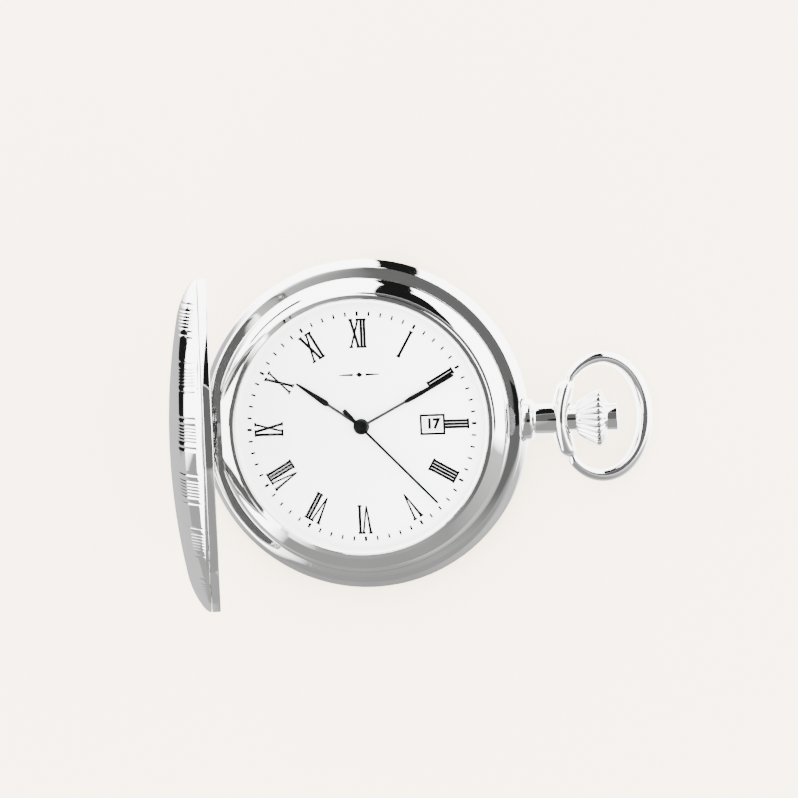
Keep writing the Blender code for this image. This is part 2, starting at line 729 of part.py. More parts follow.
def gear(name, at, count, radius, z_low, z_high, finish=None, hole=0.0):
    depth = min(0.16 * MM, radius * 0.25)
    outlines = [teeth(count, radius - depth / 2, depth)]
    if hole:
        outlines.append(circle(hole, TINY))
    return plate(name, outlines, z_low, z_high, finish, location=(*at, 0))


def make_motion_work():
    """The gears under the dial: cannon pinion to minute wheel to hour wheel, 12 to 1."""
    cannon, minute = gear_radii(MOTION_DISTANCE, 10, 30)
    pinion, hour = gear_radii(MOTION_DISTANCE, 8, 32)
    hour_wheel = gear("hour_wheel", (0, 0), 32, hour, *UPPER_GEAR_Z, BRASS, hole=0.7 * MM)
    join(hour_wheel, arbor("hour_pipe", (0, 0), 0.92 * MM, UPPER_GEAR_Z[0], HOUR_Z + 0.16 * MM, 0.7 * MM))
    minute_wheel = gear("minute_wheel", MOTION_AT, 30, minute, *LOWER_GEAR_Z, BRASS)
    join(minute_wheel, gear("minute_pinion", MOTION_AT, 8, pinion, LOWER_GEAR_Z[0], UPPER_GEAR_Z[1]))
    date_step, date_hour = gear_radii(4.8 * MM, 32, 32)
    step_wheel = gear("date_step_wheel", DATE_STEP_AT, 32, date_hour, *UPPER_GEAR_Z, PLASTIC)
    distance = math.dist(DATE_STEP_AT, DATE_DRIVE_AT)
    step_pinion, drive = gear_radii(distance, 12, 24)
    join(step_wheel, gear("date_pinion", DATE_STEP_AT, 12, step_pinion, LOWER_GEAR_Z[0], UPPER_GEAR_Z[1]))
    drive_wheel = gear("date_drive_wheel", DATE_DRIVE_AT, 24, drive, LOWER_GEAR_Z[0], LOWER_GEAR_Z[1] - 0.1 * MM, PLASTIC)
    join(drive_wheel, arbor("date_finger", DATE_DRIVE_AT, 0.3 * MM, LOWER_GEAR_Z[0], DATE_DISC_Z[1]))
    return cannon


def make_date_disc():
    inner, outer = DATE_DISC_RADII
    outlines = [circle(outer, LARGE), teeth(31, inner, 0.3 * MM)]
    plate("date_disc", outlines, *DATE_DISC_Z, WHITE)


def make_going_train(cannon):
    """Rotor to step wheel to seconds wheel 30 to 1, then third wheel to centre wheel 60 to 1."""
    low, high = BRIDGE_Z[1] + 0.15 * MM, PLATE_Z[0] - 0.15 * MM
    rotor_pinion, step = gear_radii(3.2 * MM, 6, 36)
    step_pinion, seconds = gear_radii(3.8 * MM, 6, 30)
    seconds_pinion, third = gear_radii(TRAIN_DISTANCE, 8, 60)
    third_pinion, centre = gear_radii(TRAIN_DISTANCE, 8, 64)
    rotor = gear("rotor", ROTOR_AT, 6, rotor_pinion, low, high, SPRING)
    join(rotor, arbor("rotor_magnet", ROTOR_AT, 0.6 * MM, low, low + 0.55 * MM))
    step_wheel = gear("step_wheel", STEP_AT, 36, step, 5.1 * MM, 5.2 * MM, BRASS)
    join(step_wheel, gear("step_pinion", STEP_AT, 6, step_pinion, low, 5.2 * MM))
    seconds_wheel = gear("seconds_wheel", (0, 0), 30, seconds, 4.55 * MM, 4.7 * MM, BRASS)
    join(seconds_wheel, gear("seconds_pinion", (0, 0), 8, seconds_pinion, low, 5.15 * MM))
    join(seconds_wheel, arbor("seconds_arbor", (0, 0), 0.2 * MM, low - FIT_GAP, SECOND_Z + 0.1 * MM))
    third_wheel = gear("third_wheel", THIRD_AT, 60, third, 4.85 * MM, 5.0 * MM, BRASS)
    join(third_wheel, gear("third_pinion", THIRD_AT, 8, third_pinion, low, 5.5 * MM))
    centre_wheel = gear("centre_wheel", (0, 0), 64, centre, 5.3 * MM, 5.45 * MM, BRASS, hole=0.3 * MM)
    join(centre_wheel, arbor("cannon_pipe", (0, 0), 0.58 * MM, 5.3 * MM, MINUTE_Z + 0.1 * MM, 0.3 * MM))
    join(centre_wheel, gear("cannon_pinion", (0, 0), 10, cannon, *LOWER_GEAR_Z, hole=0.4 * MM))


def make_plates():
    holes = [circle(0.75 * MM, TINY)]
    plate("mainplate", [circle(MOVEMENT_RADIUS, 48), *holes], *PLATE_Z, BRASS)
    bridge_line = arc(8.6 * MM, math.radians(-48), math.radians(58), 12)
    bridge_line += [(-0.5 * MM, 4.6 * MM), (-6.6 * MM, 1.4 * MM), (-6.6 * MM, -5.9 * MM)]
    plate("train_bridge", [bridge_line], *BRIDGE_Z, SPRING)
    stator_line = rectangle(COIL_AT[0] - 5.6 * MM, COIL_AT[0] + 5.6 * MM, COIL_AT[1] + 1.15 * MM, -3.2 * MM)
    plate("stator", [stator_line, circle(0.75 * MM, SMALL, *ROTOR_AT)], 4.22 * MM, 4.45 * MM, SPRING)
    cylinder("battery", 3.4 * MM, 3.6 * MM, 5.6 * MM, CHROME, steps=36, location=(*BATTERY_AT, 0))
    plate("battery_clamp", [clamp_outline()], 3.3 * MM, 3.5 * MM, SPRING, location=(*BATTERY_AT, 0))
    board_line = arc(11.6 * MM, math.radians(212), math.radians(328), 14)
    board_line += [(7.2 * MM, -6.15 * MM), (-7.2 * MM, -6.15 * MM)]
    plate("circuit_board", [board_line], 3.45 * MM, 3.65 * MM, BOARD)
    turned_to_x = {"location": (0, COIL_AT[1], 4.75 * MM), "rotation": (0, math.pi / 2, 0)}
    coil_profile = [
        (0, -5.2 * MM),
        (0.9 * MM, -5.2 * MM),
        (0.9 * MM, -4.8 * MM),
        (0.72 * MM, -4.8 * MM),
        (0.72 * MM, 3.6 * MM),
        (0.9 * MM, 3.6 * MM),
        (0.9 * MM, 4.0 * MM),
        (0, 4.0 * MM),
    ]
    turned("coil", coil_profile, COPPER, steps=18, **turned_to_x)
    can_place = {"location": (6.9 * MM, -8.2 * MM, 4.45 * MM), "rotation": (0, math.pi / 2, math.radians(40))}
    cylinder("quartz_can", 0.7 * MM, -1.6 * MM, 1.6 * MM, CHROME, steps=16, **can_place)


def clamp_outline():
    return [
        (-3.0 * MM, -0.9 * MM),
        (3.6 * MM, -0.9 * MM),
        (4.1 * MM, -0.3 * MM),
        (4.1 * MM, 0.3 * MM),
        (3.6 * MM, 0.9 * MM),
        (-3.0 * MM, 0.9 * MM),
    ]


def make_holder_ring():
    profile = [
        (MOVEMENT_RADIUS + 0.2 * MM, 7.3 * MM),
        (18.2 * MM, 7.3 * MM),
        (18.2 * MM, 5.8 * MM),
        (18.7 * MM, 5.7 * MM),
        (18.7 * MM, 3.9 * MM),
        (MOVEMENT_RADIUS + 0.2 * MM, 3.2 * MM),
    ]
    ring = turned("movement_ring", profile, PLASTIC, steps=48, ring=True)
    cut(
        ring,
        cylinder("ring_stem_hole", 0.65 * MM, 10 * MM, 20 * MM, steps=TINY, **ALONG_X),
        block("ring_fork_notch", (17.4 * MM, -1.7 * MM, 3.5 * MM), (20 * MM, 1.7 * MM, 8 * MM)),
    )


SEAT = cylinder("pendant_seat", FLANGE_RADIUS + 0.1 * MM, PENDANT_X - 0.1 * MM, 26 * MM, **ALONG_X)
make_case_middle(SEAT)
make_case_back(SEAT)
make_bezel()
make_crystal()
make_lift_spring()
make_lock_spring()
make_pendant()
make_crown()
make_bow()
make_cover()
make_dial()
make_hands()
make_date_disc()
make_going_train(make_motion_work())
make_plates()
make_holder_ring()
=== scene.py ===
"""Looks of a hunter-case pocket watch: polished steel, white lacquer dial, black hands.

Every piece is made in place, in metres, with its object at the origin.
"""

import math

import bmesh
import bpy
from mathutils import Matrix, Vector


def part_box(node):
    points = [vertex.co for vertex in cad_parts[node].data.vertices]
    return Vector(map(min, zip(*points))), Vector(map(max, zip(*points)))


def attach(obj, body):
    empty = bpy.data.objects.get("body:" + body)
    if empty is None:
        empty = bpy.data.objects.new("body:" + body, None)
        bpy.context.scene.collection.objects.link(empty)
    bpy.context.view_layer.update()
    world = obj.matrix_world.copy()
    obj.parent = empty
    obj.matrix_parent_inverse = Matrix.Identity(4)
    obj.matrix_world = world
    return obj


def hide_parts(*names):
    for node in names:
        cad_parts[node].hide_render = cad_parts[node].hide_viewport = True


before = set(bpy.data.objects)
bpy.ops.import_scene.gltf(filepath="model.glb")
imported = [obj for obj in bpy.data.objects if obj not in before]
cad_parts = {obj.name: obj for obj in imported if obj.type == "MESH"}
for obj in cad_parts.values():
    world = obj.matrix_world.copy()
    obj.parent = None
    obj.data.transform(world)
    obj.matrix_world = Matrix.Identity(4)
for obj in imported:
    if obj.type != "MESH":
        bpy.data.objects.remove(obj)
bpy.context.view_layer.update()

MM = 0.001
TURN = 2 * math.pi

# Sizes that come from the frame
GIRTH_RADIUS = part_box("case_middle")[1].y
SEAM_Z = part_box("case_middle")[0].z
BEZEL_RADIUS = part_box("bezel")[1].y
BEZEL_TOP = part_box("bezel")[1].z
BEZEL_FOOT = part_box("bezel")[0].z
BEZEL_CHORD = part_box("bezel")[0].x
CRYSTAL_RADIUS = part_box("crystal")[1].y
CRYSTAL_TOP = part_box("crystal")[1].z
DIAL_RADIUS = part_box("dial")[1].y
DIAL_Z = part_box("dial")[1].z
STEM_Z = (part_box("crown")[0].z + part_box("crown")[1].z) / 2
CROWN_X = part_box("crown")[0].x
CROWN_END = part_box("crown")[1].x
PENDANT_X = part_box("pendant")[0].x
HOUR_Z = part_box("hour_hand")[0].z
MINUTE_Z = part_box("minute_hand")[0].z
SECOND_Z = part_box("second_hand")[0].z

# Places and sizes that the frame's boxes cannot give
LEDGE_Z = 5.9 * MM
HINGE = Vector((-22.0 * MM, 0, 6.2 * MM))
COVER_OPEN = math.radians(80)
COVER_RADIUS = 22.8 * MM
COVER_HEIGHT = 5.95 * MM
COVER_WALL = 0.55 * MM
RIM_HEIGHT = 1.15 * MM
CASE_FLAT = -22.55 * MM
NECK_RADIUS = 2.25 * MM
BOW_X = 30.0 * MM
DATE_AT = 10.3 * MM
DATE_SHOWN = 17
SHOWN_HOUR, SHOWN_MINUTE, SHOWN_SECOND = 10.18, 10.4, 22.75
FINE, ROUND = 288, 96


# ---------------------------------------------------------------- node maths


class Value:
    """A node's output in an expression. Each step of arithmetic adds a Math node."""

    def __init__(self, graph, socket):
        self.graph = graph
        self.socket = socket

    def step(self, operation, *others, clamp=False):
        inputs = dict(enumerate((self, *others)))
        return self.graph.add("ShaderNodeMath", {"operation": operation, "use_clamp": clamp}, inputs)

    def __add__(self, other):
        return self.step("ADD", other)

    __radd__ = __add__

    def __sub__(self, other):
        return self.step("SUBTRACT", other)

    def __rsub__(self, other):
        return self.graph.number(other).step("SUBTRACT", self)

    def __mul__(self, other):
        return self.step("MULTIPLY", other)

    __rmul__ = __mul__

    def __truediv__(self, other):
        return self.step("DIVIDE", other)

    def __mod__(self, other):
        return self.step("FLOORED_MODULO", other)

    def __abs__(self):
        return self.step("ABSOLUTE")

    def __gt__(self, other):
        return self.step("GREATER_THAN", other)

    def least(self, other):
        return self.step("MINIMUM", other)

    def most(self, other):
        return self.step("MAXIMUM", other)

    def ramp(self, start, end):
        """0 at start, 1 at end, held outside them."""
        return ((self - start) / (end - start)).step("ADD", 0.0, clamp=True)

    def output(self, name):
        return Value(self.graph, self.socket.node.outputs[name])


class Graph:
    """A node tree that is built from expressions."""

    def __init__(self, tree):
        self.tree = tree

    def add(self, kind, settings=None, inputs=None):
        made = self.tree.nodes.new(kind)
        for name, setting in (settings or {}).items():
            setattr(made, name, setting)
        for key, value in (inputs or {}).items():
            self.plug(made.inputs[key], value)
        return Value(self, next(s for s in made.outputs if s.enabled)) if made.outputs else made

    def plug(self, socket, value):
        if isinstance(value, Value):
            self.tree.links.new(value.socket, socket)
        else:
            socket.default_value = value

    def number(self, value):
        made = self.tree.nodes.new("ShaderNodeMath")
        made.operation = "ADD"
        made.inputs[0].default_value = value
        made.inputs[1].default_value = 0.0
        return Value(self, made.outputs[0])

    def mix(self, factor, first, second):
        made = self.tree.nodes.new("ShaderNodeMix")
        made.data_type = "RGBA"
        for socket, value in ((made.inputs[0], factor), (made.inputs[6], first), (made.inputs[7], second)):
            self.plug(socket, (*value, 1.0) if isinstance(value, tuple) else value)
        return Value(self, made.outputs[2])

    def noise(self, vector, scale, detail=3.0, roughness=0.5):
        inputs = {"Vector": vector, "Scale": scale, "Detail": detail, "Roughness": roughness}
        return self.add("ShaderNodeTexNoise", {}, inputs)

    def stretched(self, vector, scale):
        return self.add("ShaderNodeMapping", {}, {"Vector": vector, "Scale": scale})

    def bump(self, height, distance, strength=1.0):
        return self.add("ShaderNodeBump", {}, {"Height": height, "Distance": distance, "Strength": strength})


# ---------------------------------------------------------------- finishes


def new_finish(name, **constants):
    """A material with its Principled shader's constant sockets set. Returns it, its graph and its shader."""
    made = bpy.data.materials.new(name)
    made.use_nodes = True
    graph = Graph(made.node_tree)
    shader = made.node_tree.nodes["Principled BSDF"]
    for key, value in constants.items():
        shader.inputs[key.replace("_", " ")].default_value = value
    return made, graph, shader


def place(graph):
    return graph.add("ShaderNodeTexCoord").output("Object")


def polished(name, tint, gloss, haze=0.05, scratch=0.4, scratch_scale=(900, 120, 900)):
    """Mirror-polished steel: faint haze in patches, hairlines from handling and a slight drift in shade."""
    made, graph, shader = new_finish(name, Metallic=1.0)
    at = place(graph)
    patches = graph.noise(at, 140.0, 4.0)
    hair = graph.noise(graph.stretched(at, scratch_scale), 3.0, 2.0, 0.7).ramp(0.62, 0.8)
    darker = tuple(c * 0.94 for c in tint)
    graph.plug(shader.inputs["Base Color"], graph.mix(patches.ramp(0.35, 0.7), tint, darker))
    graph.plug(shader.inputs["Roughness"], patches.ramp(0.45, 0.8) * haze + hair * 0.03 + gloss)
    graph.plug(shader.inputs["Normal"], graph.bump(hair + patches * 0.6, 0.0000012, scratch))
    return made


def crown_polish():
    """Polished steel with painted shade in the valleys between the flutes: the colour goes near-black there
    and the gloss dulls.
    """
    made, graph, shader = new_finish("crown_steel", Metallic=1.0)
    at = place(graph)
    patches = graph.noise(at, 140.0, 4.0)
    valley = graph.add("ShaderNodeAttribute", {"attribute_name": "valley"}).output("Fac")
    # Painted shade: the deeper a point lies in a flute's valley, the nearer its colour goes to black.
    painted_valley_shade = valley.ramp(0.35, 0.95)
    unshaded_steel = graph.mix(patches.ramp(0.35, 0.7), (0.94, 0.94, 0.93), (0.86, 0.86, 0.85))
    graph.plug(shader.inputs["Base Color"], graph.mix(painted_valley_shade, unshaded_steel, (0.03, 0.03, 0.03)))
    graph.plug(shader.inputs["Roughness"], painted_valley_shade * 0.25 + patches * 0.05 + 0.02)
    return made


def brushed(name, tint, gloss, direction=(60, 900, 900)):
    """Bare metal with a fine straight grain."""
    made, graph, shader = new_finish(name, Metallic=1.0)
    at = place(graph)
    grain = graph.noise(graph.stretched(at, direction), 6.0, 4.0, 0.6)
    stain = graph.noise(at, 260.0, 3.0)
    graph.plug(shader.inputs["Base Color"], graph.mix(grain, tint, tuple(c * 0.8 for c in tint)))
    graph.plug(shader.inputs["Roughness"], grain * 0.14 + stain.ramp(0.4, 0.8) * 0.08 + gloss)
    graph.plug(shader.inputs["Normal"], graph.bump(grain, 0.000004, 0.5))
    return made


def coated(name, tint, gloss, grain_scale=1500.0, grain_depth=0.000003, drift=0.06, **constants):
    """Lacquer, ink, rubber or moulded plastic: even colour with a slight drift and a fine skin."""
    made, graph, shader = new_finish(name, **constants)
    at = place(graph)
    skin = graph.noise(at, grain_scale, 3.0)
    cloud = graph.noise(at, 120.0, 3.0)
    graph.plug(shader.inputs["Base Color"], graph.mix(cloud, tint, tuple(c * (1 - drift) for c in tint)))
    graph.plug(shader.inputs["Roughness"], skin * 0.1 + cloud * 0.06 + gloss)
    graph.plug(shader.inputs["Normal"], graph.bump(skin, grain_depth, 0.4))
    return made


def dial_lacquer():
    """White lacquer over a fine vertical satin grain, with painted shade in a grey ring where the dial meets
    its wall.
    """
    made, graph, shader = new_finish("dial_lacquer", Specular_IOR_Level=0.35)
    at = place(graph)
    grain = graph.noise(graph.stretched(at, (2600, 90, 2600)), 1.6, 3.0)
    cloud = graph.noise(at, 90.0, 2.0)
    radius = graph.add("ShaderNodeVectorMath", {"operation": "LENGTH"}, {0: graph.stretched(at, (1, 1, 0))})
    radius = radius.output("Value")
    # Painted shade towards the dial's edge, mixed with the satin grain and a faint cloud of tone.
    shade = radius.ramp(15.4 * MM, DIAL_RADIUS) * 0.5 + grain * 0.1 + cloud * 0.08
    white, grey = (0.97, 0.97, 0.965), (0.72, 0.72, 0.72)
    graph.plug(shader.inputs["Base Color"], graph.mix(shade, white, grey))
    graph.plug(shader.inputs["Roughness"], grain * 0.15 + 0.38)
    graph.plug(shader.inputs["Normal"], graph.bump(grain, 0.000002, 0.35))
    return made


def crystal_glass():
    """Clear glass as a faint mirror over a clear sheet, with a little dust in its gloss."""
    made = bpy.data.materials.new("crystal_glass")
    made.use_nodes = True
    graph = Graph(made.node_tree)
    out = made.node_tree.nodes["Material Output"]
    made.node_tree.nodes.remove(made.node_tree.nodes["Principled BSDF"])
    at = place(graph)
    dust = graph.noise(at, 700.0, 3.0).ramp(0.6, 0.9)
    clear = graph.add("ShaderNodeBsdfTransparent", {}, {"Color": (0.99, 0.993, 0.993, 1.0)})
    sheen = graph.add("ShaderNodeBsdfGlossy", {}, {"Color": (1, 1, 1, 1), "Roughness": dust * 0.02 + 0.01})
    edge = graph.add("ShaderNodeFresnel", {}, {"IOR": 1.45}) * 0.1
    both = graph.add("ShaderNodeMixShader", {}, {0: edge, 1: clear, 2: sheen})
    graph.plug(out.inputs["Surface"], both)
    return made


STEEL = (0.93, 0.93, 0.92)
CASE_STEEL = polished("case_steel", STEEL, 0.025)
COVER_STEEL = polished("cover_steel", STEEL, 0.03, scratch_scale=(120, 900, 900))
FITTING_STEEL = polished("fitting_steel", (0.94, 0.94, 0.93), 0.02, haze=0.03)
CROWN_STEEL = crown_polish()
SPRING_STEEL = brushed("spring_steel", (0.55, 0.56, 0.58), 0.18)
GILT = brushed("gilt_brass", (0.86, 0.66, 0.30), 0.16)
DIAL_WHITE = dial_lacquer()
DATE_WHITE = coated("date_white", (0.86, 0.86, 0.85), 0.45)
PRINT = coated("dial_print", (0.0018, 0.0018, 0.002), 0.5, Specular_IOR_Level=0.0)
HAND_BLACK = coated("hand_black", (0.0022, 0.0022, 0.0024), 0.2, Specular_IOR_Level=0.015)
HAND_GREY = coated("hand_grey", (0.02, 0.02, 0.0205), 0.35, Specular_IOR_Level=0.1)
SEAL_WHITE = coated("seal_white", (0.90, 0.90, 0.89), 0.4, 900.0)
HOLDER = coated("holder_plastic", (0.84, 0.84, 0.82), 0.45, 700.0)
RUBBER = coated("seal_rubber", (0.02, 0.02, 0.021), 0.6, 1200.0, 0.000006)
COPPER = brushed("copper_winding", (0.80, 0.40, 0.22), 0.25, (2500, 40, 40))
BOARD = coated("circuit_green", (0.04, 0.20, 0.09), 0.35, 500.0)
GLASS = crystal_glass()


# ---------------------------------------------------------------- shapes


def curve_through(points, steps=6):
    """A smooth line through points of (radius, height), ends included."""
    ends = [points[0], *points, points[-1]]
    line = []
    for corners in zip(ends, ends[1:], ends[2:], ends[3:]):
        for i in range(steps):
            line.append(tuple(between(i / steps, *axis) for axis in zip(*corners)))
    return [*line, points[-1]]


def between(t, p, q, r, s):
    """The Catmull-Rom value at t of the way from q to r."""
    linear, square, cube = r - p, 2 * p - 5 * q + 4 * r - s, 3 * q - p - 3 * r + s
    return 0.5 * (2 * q + linear * t + square * t**2 + cube * t**3)


def eased(points, radius, steps=4, closed=True):
    """The outline with each corner eased by a small round."""
    made = []
    count = len(points)
    for i, corner in enumerate(points):
        if not closed and i in (0, count - 1):
            made.append(corner)
            continue
        corner = Vector(corner)
        before, after = Vector(points[i - 1]) - corner, Vector(points[(i + 1) % count]) - corner
        reach = min(radius, before.length * 0.45, after.length * 0.45)
        start, end = corner + before.normalized() * reach, corner + after.normalized() * reach
        for k in range(steps + 1):
            t = k / steps
            made.append(tuple(start * (1 - t) ** 2 + corner * 2 * t * (1 - t) + end * t**2))
    return made


def mesh_object(name, shape, finish, crease=32):
    """One finished piece from a bmesh: doubles merged, faces outwards, smooth except at creases."""
    bmesh.ops.remove_doubles(shape, verts=shape.verts, dist=0.0000004)
    bmesh.ops.dissolve_degenerate(shape, edges=shape.edges, dist=0.0000002)
    bmesh.ops.recalc_face_normals(shape, faces=shape.faces)
    mesh = bpy.data.meshes.new(name)
    shape.to_mesh(mesh)
    shape.free()
    made = bpy.data.objects.new(name, mesh)
    bpy.context.scene.collection.objects.link(made)
    if finish:
        mesh.materials.append(finish)
    mesh.shade_smooth()
    mesh.set_sharp_from_angle(angle=math.radians(crease))
    return made


def lathe(shape, profile, steps, ring=False):
    """Turns a profile of (radius, height) about Z into a bmesh. A ring's profile is a closed loop."""
    loops = []
    for radius, z in profile:
        if radius < 1e-9:
            loops.append([shape.verts.new((0, 0, z))])
            continue
        angles = [TURN * i / steps for i in range(steps)]
        loops.append([shape.verts.new((radius * math.cos(a), radius * math.sin(a), z)) for a in angles])
    pairs = list(zip(loops, loops[1:]))
    if ring:
        pairs.append((loops[-1], loops[0]))
    for low, high in pairs:
        for i in range(steps):
            k = (i + 1) % steps
            corners = [low[i % len(low)], low[k % len(low)], high[k % len(high)], high[i % len(high)]]
            corners = list(dict.fromkeys(corners))
            if len(corners) > 2:
                shape.faces.new(corners)


def turned(name, profile, finish, steps=FINE, ring=False, matrix=None, crease=32):
    shape = bmesh.new()
    lathe(shape, profile, steps, ring)
    if matrix:
        bmesh.ops.transform(shape, matrix=matrix, verts=shape.verts)
    return mesh_object(name, shape, finish, crease)


def box_piece(name, low, high, finish=None, ease=0.0, matrix=None):
    shape = bmesh.new()
    bmesh.ops.create_cube(shape, size=1.0)
    size = [b - a for a, b in zip(low, high)]
    bmesh.ops.scale(shape, vec=size, verts=shape.verts)
    bmesh.ops.translate(shape, vec=[(a + b) / 2 for a, b in zip(low, high)], verts=shape.verts)
    if ease:
        bmesh.ops.bevel(shape, geom=shape.edges[:], offset=ease, segments=3, affect="EDGES", profile=0.5)
    if matrix:
        bmesh.ops.transform(shape, matrix=matrix, verts=shape.verts)
    return mesh_object(name, shape, finish)


def settle(obj):
    """Puts the object's evaluated shape in its mesh and drops its modifiers."""
    bpy.context.view_layer.update()
    graph = bpy.context.evaluated_depsgraph_get()
    mesh = bpy.data.meshes.new_from_object(obj.evaluated_get(graph))
    obj.modifiers.clear()
    old = obj.data
    obj.data = mesh
    bpy.data.meshes.remove(old)
    return obj


def combine(obj, others, operation="DIFFERENCE", crease=32):
    """Cuts the others from the object, or joins them to it, and removes them."""
    for other in others:
        step = obj.modifiers.new("combine", "BOOLEAN")
        step.operation = operation
        step.solver = "EXACT"
        step.object = other
    settle(obj)
    for other in others:
        bpy.data.objects.remove(other, do_unlink=True)
    obj.data.shade_smooth()
    obj.data.set_sharp_from_angle(angle=math.radians(crease))
    return obj


def joined(name, pieces, finish):
    """One mesh from several pieces that touch or lie side by side."""
    shape = bmesh.new()
    for piece in pieces:
        shape.from_mesh(piece.data)
        bpy.data.objects.remove(piece, do_unlink=True)
    mesh = bpy.data.meshes.new(name)
    shape.to_mesh(mesh)
    shape.free()
    mesh.materials.clear()
    mesh.materials.append(finish)
    made = bpy.data.objects.new(name, mesh)
    bpy.context.scene.collection.objects.link(made)
    return made


ALONG_X = Matrix.Translation((0, 0, STEM_Z)) @ Matrix.Rotation(math.pi / 2, 4, "Y")
ALONG_Y = Matrix.Rotation(-math.pi / 2, 4, "X")
COVER_AT = (
    Matrix.Translation(HINGE)
    @ Matrix.Rotation(-COVER_OPEN, 4, "Y")
    @ Matrix.Translation((-HINGE.x, 0, 0))
)


def bar_on_hinge(name, radius, low, high, finish=None, ease=0.06 * MM):
    profile = eased([(0, high), (radius, high), (radius, low), (0, low)], ease, closed=False)
    return turned(name, profile, finish, 48, matrix=Matrix.Translation(HINGE) @ ALONG_Y)


def finished(piece, body, slot, *nodes):
    """Tells the frame which body the piece rides on and which nodes it stands for. The slot is not used."""
    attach(piece, body)
    if nodes:
        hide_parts(*nodes)
    return piece


# ---------------------------------------------------------------- geometry node trees


def node_tree(name, sizes):
    """A Geometry Nodes tree with a Geometry socket and one named input for each size."""
    tree = bpy.data.node_groups.new(name, "GeometryNodeTree")
    tree.interface.new_socket("Geometry", in_out="INPUT", socket_type="NodeSocketGeometry")
    tree.interface.new_socket("Geometry", in_out="OUTPUT", socket_type="NodeSocketGeometry")
    for size, default in sizes.items():
        kind = "NodeSocketInt" if isinstance(default, int) else "NodeSocketFloat"
        tree.interface.new_socket(size, in_out="INPUT", socket_type=kind).default_value = default
    graph = Graph(tree)
    entry = graph.add("NodeGroupInput")
    return graph, {name: entry.output(name) for name in ("Geometry", *sizes)}


def end_tree(graph, geometry, finish):
    """Ends a tree in Realize Instances and Set Material."""
    real = graph.add("GeometryNodeRealizeInstances", {}, {"Geometry": geometry})
    done = graph.add("GeometryNodeSetMaterial", {}, {"Geometry": real, "Material": finish})
    graph.add("NodeGroupOutput", {}, {"Geometry": done})
    return graph.tree


def run_tree(obj, tree, **sizes):
    """Runs a tree on an object and keeps the plain mesh that it makes."""
    step = obj.modifiers.new(tree.name, "NODES")
    step.node_group = tree
    for item in tree.interface.items_tree:
        if item.in_out == "INPUT" and item.name.replace(" ", "_") in sizes:
            step[item.identifier] = sizes[item.name.replace(" ", "_")]
    return settle(obj)


def empty_piece(name):
    made = bpy.data.objects.new(name, bpy.data.meshes.new(name))
    bpy.context.scene.collection.objects.link(made)
    return made


def vector_parts(graph, vector):
    parts = graph.add("ShaderNodeSeparateXYZ", {}, {0: vector})
    return parts, parts.output("Y"), parts.output("Z")


def marks_tree(finish):
    """Bars that point outwards, evenly round a circle, with every so many left out."""
    sizes = {"Count": 60, "Every": 99, "First": 1, "Radius": 0.01, "Z": 0.0}
    sizes |= {"Length": 0.001, "Width": 0.0001, "Height": 0.0001}
    graph, given = node_tree("marks_round_a_circle", sizes)
    ring = graph.add("GeometryNodeMeshCircle", {}, {"Vertices": given["Count"], "Radius": given["Radius"]})
    size = graph.add("ShaderNodeCombineXYZ", {}, {0: given["Length"], 1: given["Width"], 2: given["Height"]})
    bar = graph.add("GeometryNodeMeshCube", {}, {"Size": size})
    at_x, at_y, _ = vector_parts(graph, graph.add("GeometryNodeInputPosition"))
    turn = graph.add("ShaderNodeCombineXYZ", {}, {2: at_y.step("ARCTAN2", at_x)})
    index = graph.add("GeometryNodeInputIndex")
    skipped = (index + given["First"]) % given["Every"]
    inputs = {"Points": ring, "Instance": bar, "Rotation": turn, "Selection": skipped > 0.5}
    bars = graph.add("GeometryNodeInstanceOnPoints", {}, inputs)
    lift = graph.add("ShaderNodeCombineXYZ", {}, {2: given["Z"] + given["Height"] / 2})
    raised = graph.add("GeometryNodeTransform", {}, {"Geometry": bars, "Translation": lift})
    return end_tree(graph, raised, finish)


def flutes_tree(finish):
    """Rounded ribs with sharp valleys round a turned piece whose axis runs along X."""
    sizes = {"Count": 24, "Depth": 0.0003, "Start": 0.0, "Middle": 0.0, "End": 0.0, "Axis Z": 0.0}
    graph, given = node_tree("flutes_round_an_axis", sizes)
    position = graph.add("GeometryNodeInputPosition")
    x, y, z = vector_parts(graph, position)
    z = z - given["Axis Z"]
    angle = z.step("ARCTAN2", y)
    valley = 1 - abs((angle * given["Count"] / 2).step("SINE"))
    rise = ((x - given["Start"]) / (given["Middle"] - given["Start"])).step("ADD", 0.0, clamp=True)
    fall = ((given["End"] - x) / (given["End"] - given["Middle"])).step("ADD", 0.0, clamp=True)
    carved = valley * rise.least(fall).step("POWER", 0.6)
    depth = carved * given["Depth"]
    shift = {1: angle.step("COSINE") * depth * -1, 2: angle.step("SINE") * depth * -1}
    offset = graph.add("ShaderNodeCombineXYZ", {}, shift)
    moved = graph.add("GeometryNodeSetPosition", {}, {"Geometry": given["Geometry"], "Offset": offset})
    # The valley depth is stored for the crown's finish, which paints shade into the valleys with it.
    inputs = {"Geometry": moved, "Name": "valley", "Value": carved}
    marked = graph.add("GeometryNodeStoreNamedAttribute", {"data_type": "FLOAT", "domain": "POINT"}, inputs)
    return end_tree(graph, marked, finish)


